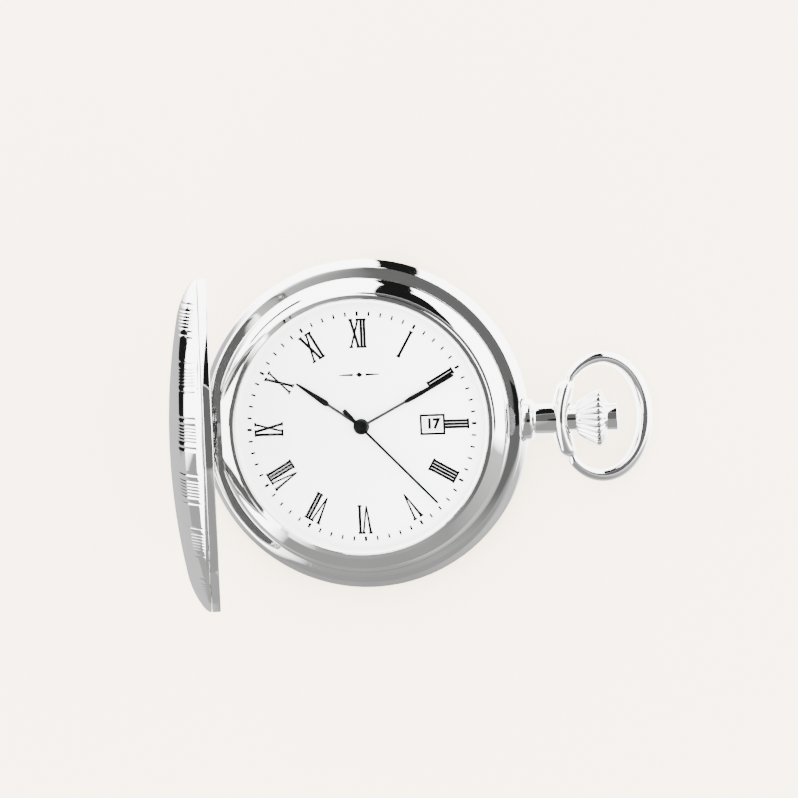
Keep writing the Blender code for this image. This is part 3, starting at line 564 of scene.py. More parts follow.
def engraving_tree(finish):
    """Groups of straight cuts along X: six close together with one on its own at each side."""
    sizes = {"Pitch": 0.0004, "Period": 17, "Half Width": 0.0001, "Depth": 0.00005, "Floor Z": 0.0}
    graph, given = node_tree("engraved_groups", sizes)
    _, y, z = vector_parts(graph, graph.add("GeometryNodeInputPosition"))
    place_in_group = abs(((y / given["Pitch"]) % given["Period"]) - given["Period"] / 2)
    close = abs((place_in_group % 1.0) - 0.5).most(place_in_group - 2.6)
    lone = abs(place_in_group - 4.5)
    near = close.least(lone) * given["Pitch"]
    cut = (1 - near / given["Half Width"]).step("ADD", 0.0, clamp=True).step("POWER", 0.5)
    outside = z > given["Floor Z"]
    offset = graph.add("ShaderNodeCombineXYZ", {}, {2: cut * outside * given["Depth"] * -1})
    engraved = graph.add("GeometryNodeInputNamedAttribute", {"data_type": "FLOAT"}, {"Name": "engraved"})
    masked = graph.add("ShaderNodeVectorMath", {"operation": "SCALE"}, {0: offset, "Scale": engraved})
    moved = graph.add("GeometryNodeSetPosition", {}, {"Geometry": given["Geometry"], "Offset": masked})
    return end_tree(graph, moved, finish)


def wire_tree(finish):
    """A round wire along a path whose points hold its radius."""
    graph, given = node_tree("round_wire", {"Sides": 40})
    path = graph.add("GeometryNodeMeshToCurve", {}, {0: given["Geometry"]})
    width = graph.add("GeometryNodeInputNamedAttribute", {"data_type": "FLOAT"}, {"Name": "wire_radius"})
    ring = graph.add("GeometryNodeCurvePrimitiveCircle", {}, {"Resolution": given["Sides"], "Radius": 1.0})
    inputs = {"Curve": path, "Profile Curve": ring, "Scale": width, "Fill Caps": True}
    tube = graph.add("GeometryNodeCurveToMesh", {}, inputs)
    return end_tree(graph, tube, finish)


# ---------------------------------------------------------------- case


def make_case():
    outer = curve_through(
        [
            (22.75 * MM, LEDGE_Z - 0.02 * MM),
            (22.98 * MM, LEDGE_Z - 0.1 * MM),
            (23.16 * MM, LEDGE_Z - 0.38 * MM),
            (23.5 * MM, LEDGE_Z - 0.85 * MM),
            (23.87 * MM, LEDGE_Z - 1.45 * MM),
            (GIRTH_RADIUS, LEDGE_Z - 2.15 * MM),
            (23.86 * MM, LEDGE_Z - 2.8 * MM),
            (23.5 * MM, SEAM_Z + 0.08 * MM),
        ]
    )
    inner = [(23.38 * MM, SEAM_Z), (19.05 * MM, SEAM_Z), (19.05 * MM, LEDGE_Z + 0.06 * MM)]
    ledge = [(21.2 * MM, LEDGE_Z + 0.05 * MM), (22.2 * MM, LEDGE_Z - 0.01 * MM)]
    case = turned("case_band", outer + inner + ledge, CASE_STEEL, ring=True, crease=40)
    flat_low, flat_high = (CASE_FLAT - 3 * MM, -9.5 * MM, SEAM_Z + 0.3 * MM), (CASE_FLAT, 9.5 * MM, 9 * MM)
    flat = box_piece("flat", flat_low, flat_high)
    groove = box_piece("groove", (HINGE.x, -1.2 * MM, LEDGE_Z - 0.7 * MM), (-18 * MM, 1.2 * MM, 8 * MM))
    seat_profile = [(0, 26 * MM), (3.1 * MM, 26 * MM), (3.1 * MM, 22.95 * MM), (0, 22.95 * MM)]
    seat = turned("seat", seat_profile, None, ROUND, matrix=ALONG_X)
    room = bar_on_hinge("room", 0.72 * MM, -1.22 * MM, 1.22 * MM)
    combine(case, [flat, groove, seat, room], crease=40)
    finished(case, "case", "polished_steel", "case_middle")
    for side, name in ((-1, "case_knuckle_lower"), (1, "case_knuckle_upper")):
        low, high = sorted((side * 1.3 * MM, side * 3.3 * MM))
        finished(bar_on_hinge(name, 0.5 * MM, low, high, FITTING_STEEL), "case", "polished_steel")


def make_back():
    edge = SEAM_Z - 0.15 * MM
    outer = [
        (23.25 * MM, edge),
        (22.7 * MM, 2.0 * MM),
        (21.3 * MM, 1.32 * MM),
        (19.4 * MM, 0.74 * MM),
        (16.6 * MM, 0.26 * MM),
        (13.6 * MM, 0.04 * MM),
        (12.0 * MM, 0.0),
    ]
    inner = [(0, 0.8), (12, 0.8), (17.5, 1.45), (20.6, 2.5), (20.6, 3.4)]
    inner = [(radius * MM, z * MM) for radius, z in inner]
    rim = [(21.2 * MM, 3.4 * MM), (21.2 * MM, edge)]
    back = turned("back_shell", inner + rim + curve_through(outer) + [(0, 0)], CASE_STEEL, crease=40)
    finished(back, "case", "polished_steel", "case_back")


def make_bezel():
    lip = CRYSTAL_RADIUS + 0.42 * MM
    slope = curve_through(
        [
            (19.16 * MM, BEZEL_TOP - 0.1 * MM),
            (19.5 * MM, BEZEL_TOP - 0.24 * MM),
            (20.05 * MM, BEZEL_TOP - 0.54 * MM),
            (20.65 * MM, BEZEL_TOP - 1.0 * MM),
            (21.1 * MM, BEZEL_TOP - 1.56 * MM),
            (BEZEL_RADIUS, BEZEL_TOP - 2.3 * MM),
            (BEZEL_RADIUS - 0.02 * MM, BEZEL_FOOT + 0.1 * MM),
        ],
        8,
    )
    under = [(BEZEL_RADIUS - 0.12 * MM, BEZEL_FOOT), (20.8 * MM, BEZEL_FOOT), (20.8 * MM, 7.0 * MM)]
    under += [(20.2 * MM, 7.7 * MM), (19.1 * MM, 8.2 * MM), (19.1 * MM, 7.9 * MM), (lip, 7.9 * MM)]
    top = [(lip, BEZEL_TOP - 0.06 * MM), (lip + 0.06 * MM, BEZEL_TOP), (19.06 * MM, BEZEL_TOP - 0.02 * MM)]
    bezel = turned("bezel_ring", slope + under + top, CASE_STEEL, ring=True, crease=28)
    chord = box_piece("chord", (BEZEL_CHORD - 3 * MM, -12 * MM, 0), (BEZEL_CHORD, 12 * MM, 12 * MM))
    catch = box_piece("catch", (20 * MM, -2.55 * MM, 6.3 * MM), (23 * MM, 2.55 * MM, 7.05 * MM))
    combine(bezel, [chord, catch], crease=28)
    rise = [(0, 2.3), (3.0, 2.12), (4.5, 1.85), (5.75, 1.45), (6.8, 0.75)]
    rise = [(y * MM, BEZEL_FOOT + z * MM) for y, z in rise]
    foot = [(-6.8 * MM, BEZEL_FOOT), (6.8 * MM, BEZEL_FOOT)]
    outline = [*foot, *reversed(rise), *((-y, z) for y, z in rise[1:])]
    shape = bmesh.new()
    prism(shape, outline, BEZEL_CHORD, BEZEL_CHORD + 0.25 * MM)
    upright = Matrix(((0, 0, 1, 0), (1, 0, 0, 0), (0, 1, 0, 0), (0, 0, 0, 1)))
    bmesh.ops.transform(shape, matrix=upright, verts=shape.verts)
    wall = mesh_object("chord_wall", shape, CASE_STEEL)
    mouth = box_piece("mouth", (-21 * MM, -1.2 * MM, 5 * MM), (-18 * MM, 1.2 * MM, 6.8 * MM))
    combine(wall, [mouth])
    finished(wall, "case", "polished_steel")
    finished(bezel, "case", "polished_steel", "bezel")


def make_crystal():
    edge_z = CRYSTAL_TOP - 0.55 * MM
    rings = [CRYSTAL_RADIUS * i / 14 for i in range(15)]
    face = [(r, CRYSTAL_TOP - (CRYSTAL_TOP - edge_z) * (r / CRYSTAL_RADIUS) ** 2) for r in rings]
    face[-1] = (CRYSTAL_RADIUS - 0.06 * MM, edge_z + 0.02 * MM)
    under = [(r, z - 0.7 * MM) for r, z in reversed(face)]
    side = [(CRYSTAL_RADIUS, edge_z - 0.06 * MM), (CRYSTAL_RADIUS, edge_z - 0.64 * MM)]
    crystal = turned("crystal_dome", face + side + under, GLASS, ROUND * 2)
    finished(crystal, "case", "crystal_glass", "crystal")
    inner, outer = CRYSTAL_RADIUS + 0.03 * MM, CRYSTAL_RADIUS + 0.38 * MM
    low, high = DIAL_Z + 0.02 * MM, BEZEL_TOP - 0.1 * MM
    lip = inner - 0.3 * MM
    loop = eased([(inner, high), (outer, high), (outer, low), (lip, low), (lip, low + 0.3 * MM)], 0.08 * MM)
    finished(turned("crystal_seal", loop, SEAL_WHITE, ring=True), "case", "white_plastic", "crystal_gasket")


# ---------------------------------------------------------------- pendant, crown and bow


def make_pendant():
    flange = curve_through(
        [
            (2.86 * MM, PENDANT_X + 0.02 * MM),
            (3.0 * MM, PENDANT_X + 0.3 * MM),
            (3.0 * MM, PENDANT_X + 1.2 * MM),
            (2.8 * MM, PENDANT_X + 1.55 * MM),
            (2.42 * MM, PENDANT_X + 1.8 * MM),
            (NECK_RADIUS, PENDANT_X + 2.05 * MM),
        ]
    )
    profile = [(0.6 * MM, PENDANT_X), *flange, (NECK_RADIUS, 28.6 * MM), (1.9 * MM, 28.6 * MM)]
    profile += [(1.9 * MM, 33.5 * MM), (0.6 * MM, 33.5 * MM)]
    neck = turned("pendant_neck", profile, FITTING_STEEL, ROUND * 2, ring=True, matrix=ALONG_X)
    finished(neck, "case", "polished_steel", "pendant")
    finished(crescent_head(), "case", "polished_steel")


def crescent_head():
    """The boat-shaped head: oval sections along Y whose ends curl towards the crown."""
    shape = bmesh.new()
    sections, sides = 48, 56
    half_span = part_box("pendant")[1].y
    loops = []
    for i in range(1, sections):
        along = -math.cos(math.pi * i / sections)
        belly = 1 - along * along
        middle_x = 28.65 * MM + 1.15 * MM * along * along
        tip = math.sqrt(1 - max(0.0, (abs(along) - 0.8) / 0.2) ** 2)
        half_x = (1.26 + 0.08 * belly) * MM * tip
        half_z = (1.25 + 1.25 * belly) * MM * tip
        loop = []
        for k in range(sides):
            a = TURN * k / sides
            x = middle_x + half_x * math.cos(a)
            z = STEM_Z + half_z * math.sin(a)
            loop.append(shape.verts.new((x, half_span * along, z)))
        loops.append(loop)
    for low, high in zip(loops, loops[1:]):
        for k in range(sides):
            n = (k + 1) % sides
            shape.faces.new([low[k], low[n], high[n], high[k]])
    for loop, end in ((loops[0], -half_span), (loops[-1], half_span)):
        tip = shape.verts.new((29.8 * MM, end, STEM_Z))
        for k in range(sides):
            shape.faces.new([loop[k], loop[(k + 1) % sides], tip])
    return mesh_object("pendant_head", shape, FITTING_STEEL)


def make_crown():
    cone_low, peak, front = CROWN_X + 0.02 * MM, 33.95 * MM, 35.4 * MM
    radius = 4.05 * MM
    knob = 2.02 * MM
    body = curve_through(
        [
            (2.32 * MM, cone_low),
            (2.62 * MM, cone_low + 0.35 * MM),
            (3.2 * MM, cone_low + 1.4 * MM),
            (3.8 * MM, peak - 0.5 * MM),
            (radius - 0.03 * MM, peak - 0.12 * MM),
            (radius, peak + 0.15 * MM),
            (radius - 0.06 * MM, peak + 0.42 * MM),
            (3.75 * MM, peak + 0.62 * MM),
            (3.1 * MM, peak + 1.0 * MM),
            (knob + 0.18 * MM, front - 0.06 * MM),
        ],
        10,
    )
    nose = eased([(knob, front), (knob, CROWN_END), (0, CROWN_END)], 0.16 * MM, closed=False)
    bore = [(0, 35.5 * MM), (0.45 * MM, 35.5 * MM), (0.45 * MM, 34.3 * MM)]
    bore += [(2.1 * MM, 34.3 * MM), (2.1 * MM, CROWN_X)]
    crown = turned("fluted_crown", bore + body + nose, CROWN_STEEL, 24 * 16, matrix=ALONG_X, crease=50)
    sizes = {"Count": 24, "Depth": 0.42 * MM, "Start": CROWN_X, "Middle": peak, "End": front - 0.1 * MM}
    run_tree(crown, flutes_tree(CROWN_STEEL), Axis_Z=STEM_Z, **sizes)
    crown.data.shade_smooth()
    crown.data.set_sharp_from_angle(angle=math.radians(50))
    finished(crown, "crown", "polished_steel", "crown")


def make_bow():
    """The oval bow lies on the surface, so it slopes down from its pivots."""
    centre, reach, half_span, wire = 4.8 * MM, 6.5 * MM, 8.5 * MM, 1.15 * MM
    drop = math.asin((STEM_Z - wire - 0.05 * MM) / (centre + reach))
    last, steps = math.radians(139), 120
    points, radii = [], []
    for i in range(steps + 1):
        angle = -last + 2 * last * i / steps
        nearness = (1 + math.cos(angle)) / 2
        x, y = centre + reach * math.cos(angle), half_span * math.sin(angle)
        if x < 0.1 * MM:
            continue
        points.append(Vector((x * math.cos(drop) + BOW_X, y, STEM_Z - x * math.sin(drop))))
        radii.append(wire * (0.52 + 0.48 * nearness**0.8))
    for end, side in ((0, -1), (-1, 1)):
        pivot = [Vector((BOW_X, side * y * MM, STEM_Z)) for y in (5.15, 4.7)]
        if end == 0:
            points, radii = pivot[::-1] + points, [0.5 * MM, 0.5 * MM] + radii
        else:
            points, radii = points + pivot, radii + [0.5 * MM, 0.5 * MM]
    bow = empty_piece("bow_ring")
    bow.data.from_pydata(points, [(i, i + 1) for i in range(len(points) - 1)], [])
    bow.data.attributes.new("wire_radius", "FLOAT", "POINT").data.foreach_set("value", radii)
    run_tree(bow, wire_tree(FITTING_STEEL), Sides=48)
    bow.data.shade_smooth()
    bow.data.set_sharp_from_angle(angle=math.radians(60))
    finished(bow, "bow", "polished_steel", "bow")


# ---------------------------------------------------------------- cover


def cover_height(radius):
    """Height of the cover's outer face over its rim: a large sphere that rolls over into the edge."""
    sphere, shoulder = 90 * MM, 17.5 * MM
    fall = sphere - math.sqrt(sphere**2 - min(radius, COVER_RADIUS) ** 2)
    if radius <= shoulder:
        return COVER_HEIGHT - fall
    part = min(1.0, (radius - shoulder) / (COVER_RADIUS - shoulder))
    edge = COVER_HEIGHT - fall - RIM_HEIGHT - 0.1 * MM
    return COVER_HEIGHT - fall - edge * (1 - math.sqrt(max(0.0, 1 - part**2.2)))


ENGRAVING_PITCH = 0.421 * MM
ENGRAVING_HALF_WIDTH = 0.1 * MM


def cover_rows():
    """Heights across the cover at which its mesh has a row: the edges of each cut, and a fill between."""
    rows = []
    period = 17 * ENGRAVING_PITCH
    for group in range(-3, 3):
        middle = (group + 0.5) * period
        for side in (-4.5, -2.5, -1.5, -0.5, 0.5, 1.5, 2.5, 4.5):
            line = middle + side * ENGRAVING_PITCH
            rows += [line + ENGRAVING_HALF_WIDTH * part for part in (-1, -0.5, 0, 0.5, 1)]
    rows = [y for y in rows if abs(y) < COVER_RADIUS * 0.995]
    fill = [COVER_RADIUS * math.sin(math.pi / 2 * (i / 90 - 1)) for i in range(1, 180)]
    rows += [y for y in fill if min(abs(y - row) for row in rows) > 0.08 * MM]
    return sorted(rows)


def make_cover():
    """A thin shell with one grid outside, which is engraved, and one inside."""
    shape = bmesh.new()
    mark = shape.verts.layers.float.new("engraved")
    columns = 84
    rows = cover_rows()

    def grid(inside):
        lines = []
        for y in rows:
            half = math.sqrt(COVER_RADIUS**2 - y * y)
            line = []
            for i in range(columns + 1):
                x = half * math.sin(math.pi * (i / columns - 0.5))
                scale = 1 - COVER_WALL / COVER_RADIUS if inside else 1
                z = cover_height(math.hypot(x, y)) - (COVER_WALL if inside else 0)
                point = shape.verts.new((x * scale, y * scale, max(z, RIM_HEIGHT + 0.08 * MM)))
                point[mark] = 0.0 if inside or i in (0, columns) else 1.0
                line.append(point)
            lines.append(line)
        for low, high in zip(lines, lines[1:]):
            for i in range(columns):
                shape.faces.new([low[i], low[i + 1], high[i + 1], high[i]])
        return lines

    outer, inner = grid(False), grid(True)
    for lines in (outer, inner):
        scale = 1 if lines is outer else 1 - COVER_WALL / COVER_RADIUS
        for line, side in ((lines[0], -1), (lines[-1], 1)):
            pole = shape.verts.new((0, side * COVER_RADIUS * scale, RIM_HEIGHT + 0.08 * MM))
            for a, b in zip(line, line[1:]):
                shape.faces.new([a, b, pole])
    bmesh.ops.remove_doubles(shape, verts=shape.verts, dist=0.0000004)
    open_edges = [e for e in shape.edges if len(e.link_faces) == 1]
    bmesh.ops.bridge_loops(shape, edges=open_edges)
    chord = {"plane_co": (CASE_FLAT + 0.1 * MM, 0, 0), "plane_no": (-1, 0, 0), "clear_outer": True}
    geometry = shape.verts[:] + shape.edges[:] + shape.faces[:]
    cut = bmesh.ops.bisect_plane(shape, geom=geometry, **chord)["geom_cut"]
    bmesh.ops.holes_fill(shape, edges=[e for e in cut if isinstance(e, bmesh.types.BMEdge)])
    bmesh.ops.recalc_face_normals(shape, faces=shape.faces)
    cover = mesh_object("engraved_cover", shape, COVER_STEEL, 50)
    sizes = {"Pitch": ENGRAVING_PITCH, "Period": 17, "Half_Width": ENGRAVING_HALF_WIDTH, "Depth": 0.06 * MM}
    run_tree(cover, engraving_tree(COVER_STEEL), Floor_Z=RIM_HEIGHT + 0.6 * MM, **sizes)
    cover.data.transform(COVER_AT)
    cover.data.shade_smooth()
    cover.data.set_sharp_from_angle(angle=math.radians(50))
    finished(cover, "cover", "polished_steel", "front_cover")


def make_cover_rim():
    inner, outer = 21.75 * MM, COVER_RADIUS + 0.02 * MM
    loop = eased([(inner, RIM_HEIGHT), (outer, RIM_HEIGHT), (outer, 0), (inner, 0)], 0.12 * MM)
    rim = turned("cover_rim", loop, COVER_STEEL, ring=True)
    away = box_piece("away", (-27 * MM, -12 * MM, -MM), (HINGE.x, 12 * MM, 4 * MM))
    undercut = box_piece("undercut", (21.0 * MM, -3 * MM, 0.25 * MM), (22.35 * MM, 3 * MM, 3 * MM))
    combine(rim, [away, undercut])
    leaf_low, leaf_high = (HINGE.x, -6.3 * MM, 0), (HINGE.x + 1.25 * MM, 6.3 * MM, RIM_HEIGHT)
    leaf = box_piece("leaf", leaf_low, leaf_high, COVER_STEEL, 0.08 * MM)
    on_line = Matrix.Translation((HINGE.x, 0, 0)) @ ALONG_Y
    rooms = []
    for low, high in ((-3.5 * MM, -1.17 * MM), (1.17 * MM, 3.5 * MM)):
        room_profile = [(0, high), (0.66 * MM, high), (0.66 * MM, low), (0, low)]
        rooms.append(turned("room", room_profile, None, 48, matrix=on_line))
    combine(leaf, rooms)
    for piece in (rim, leaf):
        piece.data.transform(COVER_AT)
    finished(rim, "cover", "polished_steel", "cover_frame")
    leaf.name = "cover_leaf"
    finished(leaf, "cover", "polished_steel")
    knuckle = bar_on_hinge("cover_knuckle", 0.5 * MM, -1.15 * MM, 1.15 * MM, FITTING_STEEL)
    finished(knuckle, "cover", "polished_steel")


# ---------------------------------------------------------------- dial


def prism(shape, corners, low, high):
    """A flat shape between two heights, from its corners in order."""
    lower = [shape.verts.new((x, y, low)) for x, y in corners]
    upper = [shape.verts.new((x, y, high)) for x, y in corners]
    shape.faces.new(upper)
    shape.faces.new(lower[::-1])
    for i in range(len(corners)):
        k = (i + 1) % len(corners)
        shape.faces.new([lower[i], lower[k], upper[k], upper[i]])


def stroke(start, end, start_width, end_width):
    """Corners of a straight stroke that may taper."""
    start, end = Vector(start), Vector(end)
    side = Vector((end.y - start.y, start.x - end.x)).normalized() / 2
    at_start, at_end = side * start_width, side * end_width
    return [tuple(c) for c in (start + at_start, end + at_end, end - at_end, start - at_start)]


PRINT_Z = (DIAL_Z - 0.01 * MM, DIAL_Z + 0.02 * MM)
NUMERAL_FOOT, NUMERAL_HEAD = 11.5 * MM, 15.45 * MM
THICK, THIN, SERIF = 0.4 * MM, 0.3 * MM, 0.3 * MM
LETTER_GAP = 0.45 * MM
LETTER_WIDTH = 1.06 * MM
NUMERALS = ("XII", "I", "II", "III", "IIII", "V", "VI", "VII", "VIII", "IX", "X", "XI")


def letter_strokes(letter, x):
    """Strokes of one letter as (head x, foot x, head width, foot width), and the letter's width."""
    if letter == "I":
        return [(x, x, THICK, THICK)], 0.0
    if letter == "V":
        apex = x + LETTER_WIDTH / 2
        return [(x, apex, THICK, THICK * 0.5), (x + LETTER_WIDTH, apex, THIN, THIN * 0.8)], LETTER_WIDTH
    return [(x, x + LETTER_WIDTH, THICK, THICK), (x + LETTER_WIDTH, x, THIN, THIN)], LETTER_WIDTH


def numeral_shapes(word, foot):
    """Outlines of a numeral that stands upright, its foot and head at the numeral ring's radii."""
    strokes, x = [], 0.0
    for letter in word:
        made, width = letter_strokes(letter, x)
        strokes += [(letter, *one) for one in made]
        x += width + LETTER_GAP
    shift = (x - LETTER_GAP) / 2
    outlines = []
    for letter, head_x, foot_x, head_width, foot_width in strokes:
        head_x, foot_x = head_x - shift, foot_x - shift
        outlines.append(stroke((foot_x, foot), (head_x, NUMERAL_HEAD), foot_width, head_width))
        half = 0.3 * MM
        outlines.append(stroke((head_x - half, NUMERAL_HEAD), (head_x + half, NUMERAL_HEAD), SERIF, SERIF))
        if letter != "V" and foot == NUMERAL_FOOT:
            outlines.append(stroke((foot_x - half, foot), (foot_x + half, foot), SERIF, SERIF))
    return outlines


def turned_outline(outline, angle):
    """The outline turned clockwise about the dial's centre."""
    c, s = math.cos(angle), math.sin(angle)
    return [(x * c + y * s, y * c - x * s) for x, y in outline]


def make_numerals():
    shape = bmesh.new()
    for hour, word in enumerate(NUMERALS):
        foot = DATE_AT + 1.83 * MM if word == "III" else NUMERAL_FOOT
        for layer, outline in enumerate(numeral_shapes(word, foot)):
            lift = 0.0004 * MM * layer
            prism(shape, turned_outline(outline, TURN * hour / 12), PRINT_Z[0], PRINT_Z[1] + lift)
    piece = mesh_object("dial_numerals", shape, PRINT)
    finished(piece, "case", "black_lacquer")


def make_marks():
    tree = marks_tree(PRINT)
    height = PRINT_Z[1] - PRINT_Z[0]
    shared = {"Radius": 16.3 * MM, "Height": height, "Z": PRINT_Z[0]}
    sizes = {"Count": 60, "Length": 0.66 * MM, "Width": 0.27 * MM, "Every": 5, "First": 0}
    minutes = run_tree(empty_piece("minute_marks"), tree, **sizes, **shared)
    finished(minutes, "case", "black_lacquer")
    hours = run_tree(empty_piece("hour_marks"), tree, Count=12, Length=0.7 * MM, Width=0.36 * MM, **shared)
    finished(hours, "case", "black_lacquer")


def outline_frame(shape, half_x, half_y, width, centre_x):
    """Four bars of one width round a rectangle."""
    outer_x, outer_y = half_x + width, half_y + width
    bars = [
        ((-outer_x, half_y), (outer_x, outer_y)),
        ((-outer_x, -outer_y), (outer_x, -half_y)),
        ((-outer_x, -half_y), (-half_x, half_y)),
        ((half_x, -half_y), (outer_x, half_y)),
    ]
    for (x_low, y_low), (x_high, y_high) in bars:
        corners = [(x_low, y_low), (x_high, y_low), (x_high, y_high), (x_low, y_high)]
        prism(shape, [(x + centre_x, y) for x, y in corners], *PRINT_Z)


def make_print():
    shape = bmesh.new()
    outline_frame(shape, 1.5 * MM, 1.18 * MM, 0.33 * MM, DATE_AT)
    finished(mesh_object("date_frame", shape, PRINT), "case", "black_lacquer")
    shape = bmesh.new()
    mark_y, bar_half, lozenge = 7.5 * MM, 2.9 * MM, 0.55 * MM
    for side in (-1, 1):
        ends = ((side * (lozenge + 0.35 * MM), mark_y), (side * bar_half, mark_y))
        prism(shape, stroke(*ends, 0.34 * MM, 0.16 * MM), *PRINT_Z)
    half_height = 0.38 * MM
    corners = [(lozenge, mark_y), (0, mark_y + half_height), (-lozenge, mark_y), (0, mark_y - half_height)]
    prism(shape, corners, *PRINT_Z)
    finished(mesh_object("dial_ornament", shape, PRINT), "case", "black_lacquer")


def make_dial():
    low = DIAL_Z - 0.4 * MM
    edge = [(DIAL_RADIUS - 0.05 * MM, DIAL_Z), (DIAL_RADIUS, DIAL_Z - 0.05 * MM), (DIAL_RADIUS, low)]
    profile = [(1.15 * MM, DIAL_Z), (17.0 * MM, DIAL_Z), *edge, (1.15 * MM, low)]
    dial = turned("dial_plate", profile, DIAL_WHITE, ring=True)
    half_x, half_y = 1.35 * MM, 1.0 * MM
    window_low, window_high = (DATE_AT - half_x, -half_y, low - MM), (DATE_AT + half_x, half_y, DIAL_Z + MM)
    window = box_piece("window", window_low, window_high)
    combine(dial, [window])
    finished(dial, "case", "white_enamel", "dial")


def make_date_ring():
    low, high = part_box("date_disc")[0].z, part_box("date_disc")[1].z
    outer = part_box("date_disc")[1].y
    loop = eased([(8.9 * MM, high), (outer, high), (outer, low), (8.9 * MM, low)], 0.04 * MM)
    ring = turned("date_ring", loop, DATE_WHITE, ROUND * 2, ring=True)
    finished(ring, "date_disc", "white_enamel", "date_disc")
    numbers = []
    for day in range(1, 32):
        text = bpy.data.curves.new(f"day_{day}", "FONT")
        text.body = str(day)
        text.size = 1.95 * MM
        text.align_x = "CENTER"
        text.align_y = "CENTER"
        text.extrude = 0.008 * MM
        text.offset = 0.11 * MM
        text.resolution_u = 3
        number = bpy.data.objects.new(text.name, text)
        bpy.context.scene.collection.objects.link(number)
        bpy.context.view_layer.update()
        mesh = bpy.data.meshes.new_from_object(number.evaluated_get(bpy.context.evaluated_depsgraph_get()))
        bpy.data.objects.remove(number, do_unlink=True)
        angle = TURN * (day - DATE_SHOWN) / 31
        mesh.transform(Matrix.Rotation(angle, 4, "Z") @ Matrix.Translation((DATE_AT, 0, high + 0.004 * MM)))
        numbers.append(bpy.data.objects.new(text.name, mesh))
        bpy.context.scene.collection.objects.link(numbers[-1])
    finished(joined("date_numbers", numbers, PRINT), "date_disc", "black_lacquer")


# ---------------------------------------------------------------- hands


def flat_hand(name, halves, low, finish, angle, thickness=0.1 * MM):
    """A hand from points of (half width, distance) in millimetres, with a low ridge along its middle."""
    shape = bmesh.new()
    high = low + thickness
    lefts, rights, ridge, base = [], [], [], []
    for half, y in ((half * MM, y * MM) for half, y in halves):
        lefts.append(shape.verts.new((-half, y, low + thickness * 0.6)))
        rights.append(shape.verts.new((half, y, low + thickness * 0.6)))
        ridge.append(shape.verts.new((0, y, high)))
        base.append((shape.verts.new((-half, y, low)), shape.verts.new((half, y, low))))
    for i in range(len(halves) - 1):
        k = i + 1
        shape.faces.new([lefts[i], ridge[i], ridge[k], lefts[k]])
        shape.faces.new([ridge[i], rights[i], rights[k], ridge[k]])
        shape.faces.new([base[i][0], lefts[i], lefts[k], base[k][0]])
        shape.faces.new([rights[i], base[i][1], base[k][1], rights[k]])
        shape.faces.new([base[i][1], base[i][0], base[k][0], base[k][1]])
    for i in (0, -1):
        shape.faces.new([lefts[i], base[i][0], base[i][1], rights[i], ridge[i]])
    bmesh.ops.rotate(shape, verts=shape.verts, matrix=Matrix.Rotation(-angle, 3, "Z"))
    return mesh_object(name, shape, finish, 20)


def hub(name, radius, low, high, finish, bore=0.0):
    loop = eased([(bore, high), (radius, high), (radius, low), (bore, low)], 0.05 * MM, closed=bool(bore))
    return turned(name, loop, finish, ROUND, ring=bool(bore))


# Points of half width and distance from the centre, in millimetres
HOUR_BLADE = [
    (0.2, 5.72), (0.36, 5.84), (0.45, 6.2), (0.41, 7.1),
    (0.3, 8.8), (0.22, 10.2), (0.15, 11.1), (0.05, 11.3),
]
MINUTE_BLADE = [
    (0.2, 7.3), (0.3, 7.5), (0.35, 8.4), (0.34, 9.8),
    (0.28, 12.0), (0.24, 14.6), (0.2, 15.25), (0.06, 15.4),
]
SECOND_NEEDLE = [
    (0.27, -3.5), (0.32, -3.3), (0.3, -1.9), (0.22, -1.5),
    (0.19, 0.0), (0.18, 8.0), (0.17, 15.4), (0.06, 15.6),
]
HOUR_STEM = [(0.2, 0.9), (0.2, 5.76)]
MINUTE_STEM = [(0.2, 0.7), (0.2, 7.36)]


def make_hands():
    hour = TURN * SHOWN_HOUR / 12
    minute = TURN * SHOWN_MINUTE / 60
    second = TURN * SHOWN_SECOND / 60
    thickness = 0.1 * MM
    blade = flat_hand("hour_blade", HOUR_BLADE, HOUR_Z, HAND_BLACK, hour)
    finished(blade, "hours", "black_lacquer", "hour_hand")
    finished(flat_hand("hour_stem", HOUR_STEM, HOUR_Z, HAND_GREY, hour), "hours", "spring_steel")
    collet = hub("hour_collet", 1.15 * MM, HOUR_Z, HOUR_Z + thickness, HAND_BLACK, 0.95 * MM)
    finished(collet, "hours", "black_lacquer")
    blade = flat_hand("minute_blade", MINUTE_BLADE, MINUTE_Z, HAND_BLACK, minute)
    finished(blade, "minutes", "black_lacquer", "minute_hand")
    finished(flat_hand("minute_stem", MINUTE_STEM, MINUTE_Z, HAND_GREY, minute), "minutes", "spring_steel")
    collet = hub("minute_collet", 0.9 * MM, MINUTE_Z, MINUTE_Z + thickness, HAND_BLACK, 0.6 * MM)
    finished(collet, "minutes", "black_lacquer")
    pointer = flat_hand("second_needle", SECOND_NEEDLE, SECOND_Z, HAND_BLACK, second)
    finished(pointer, "seconds", "black_lacquer", "second_hand")
    cap = [(0, 0.34), (0.72, 0.32), (0.93, 0.12), (0.93, 0.02), (0, 0.02)]
    cap = eased([(radius * MM, SECOND_Z + z * MM) for radius, z in cap], 0.08 * MM, closed=False)
    finished(turned("second_cap", cap, HAND_BLACK, ROUND), "seconds", "black_lacquer")


# ---------------------------------------------------------------- what stays from the frame


KEPT = {
    SPRING_STEEL: (
        "centre_wheel", "seconds_wheel", "hour_wheel", "hinge_pin", "lift_spring", "lock_spring",
        "setting_stem", "train_bridge", "rotor", "stator", "battery_clamp",
    ),
    GILT: ("mainplate", "third_wheel", "step_wheel", "minute_wheel"),
    HOLDER: ("movement_ring", "date_step_wheel", "date_drive_wheel"),
    RUBBER: ("back_gasket", "crown_gasket"),
    CASE_STEEL: ("quartz_can", "battery"),
    COPPER: ("coil",),
    BOARD: ("circuit_board",),
}


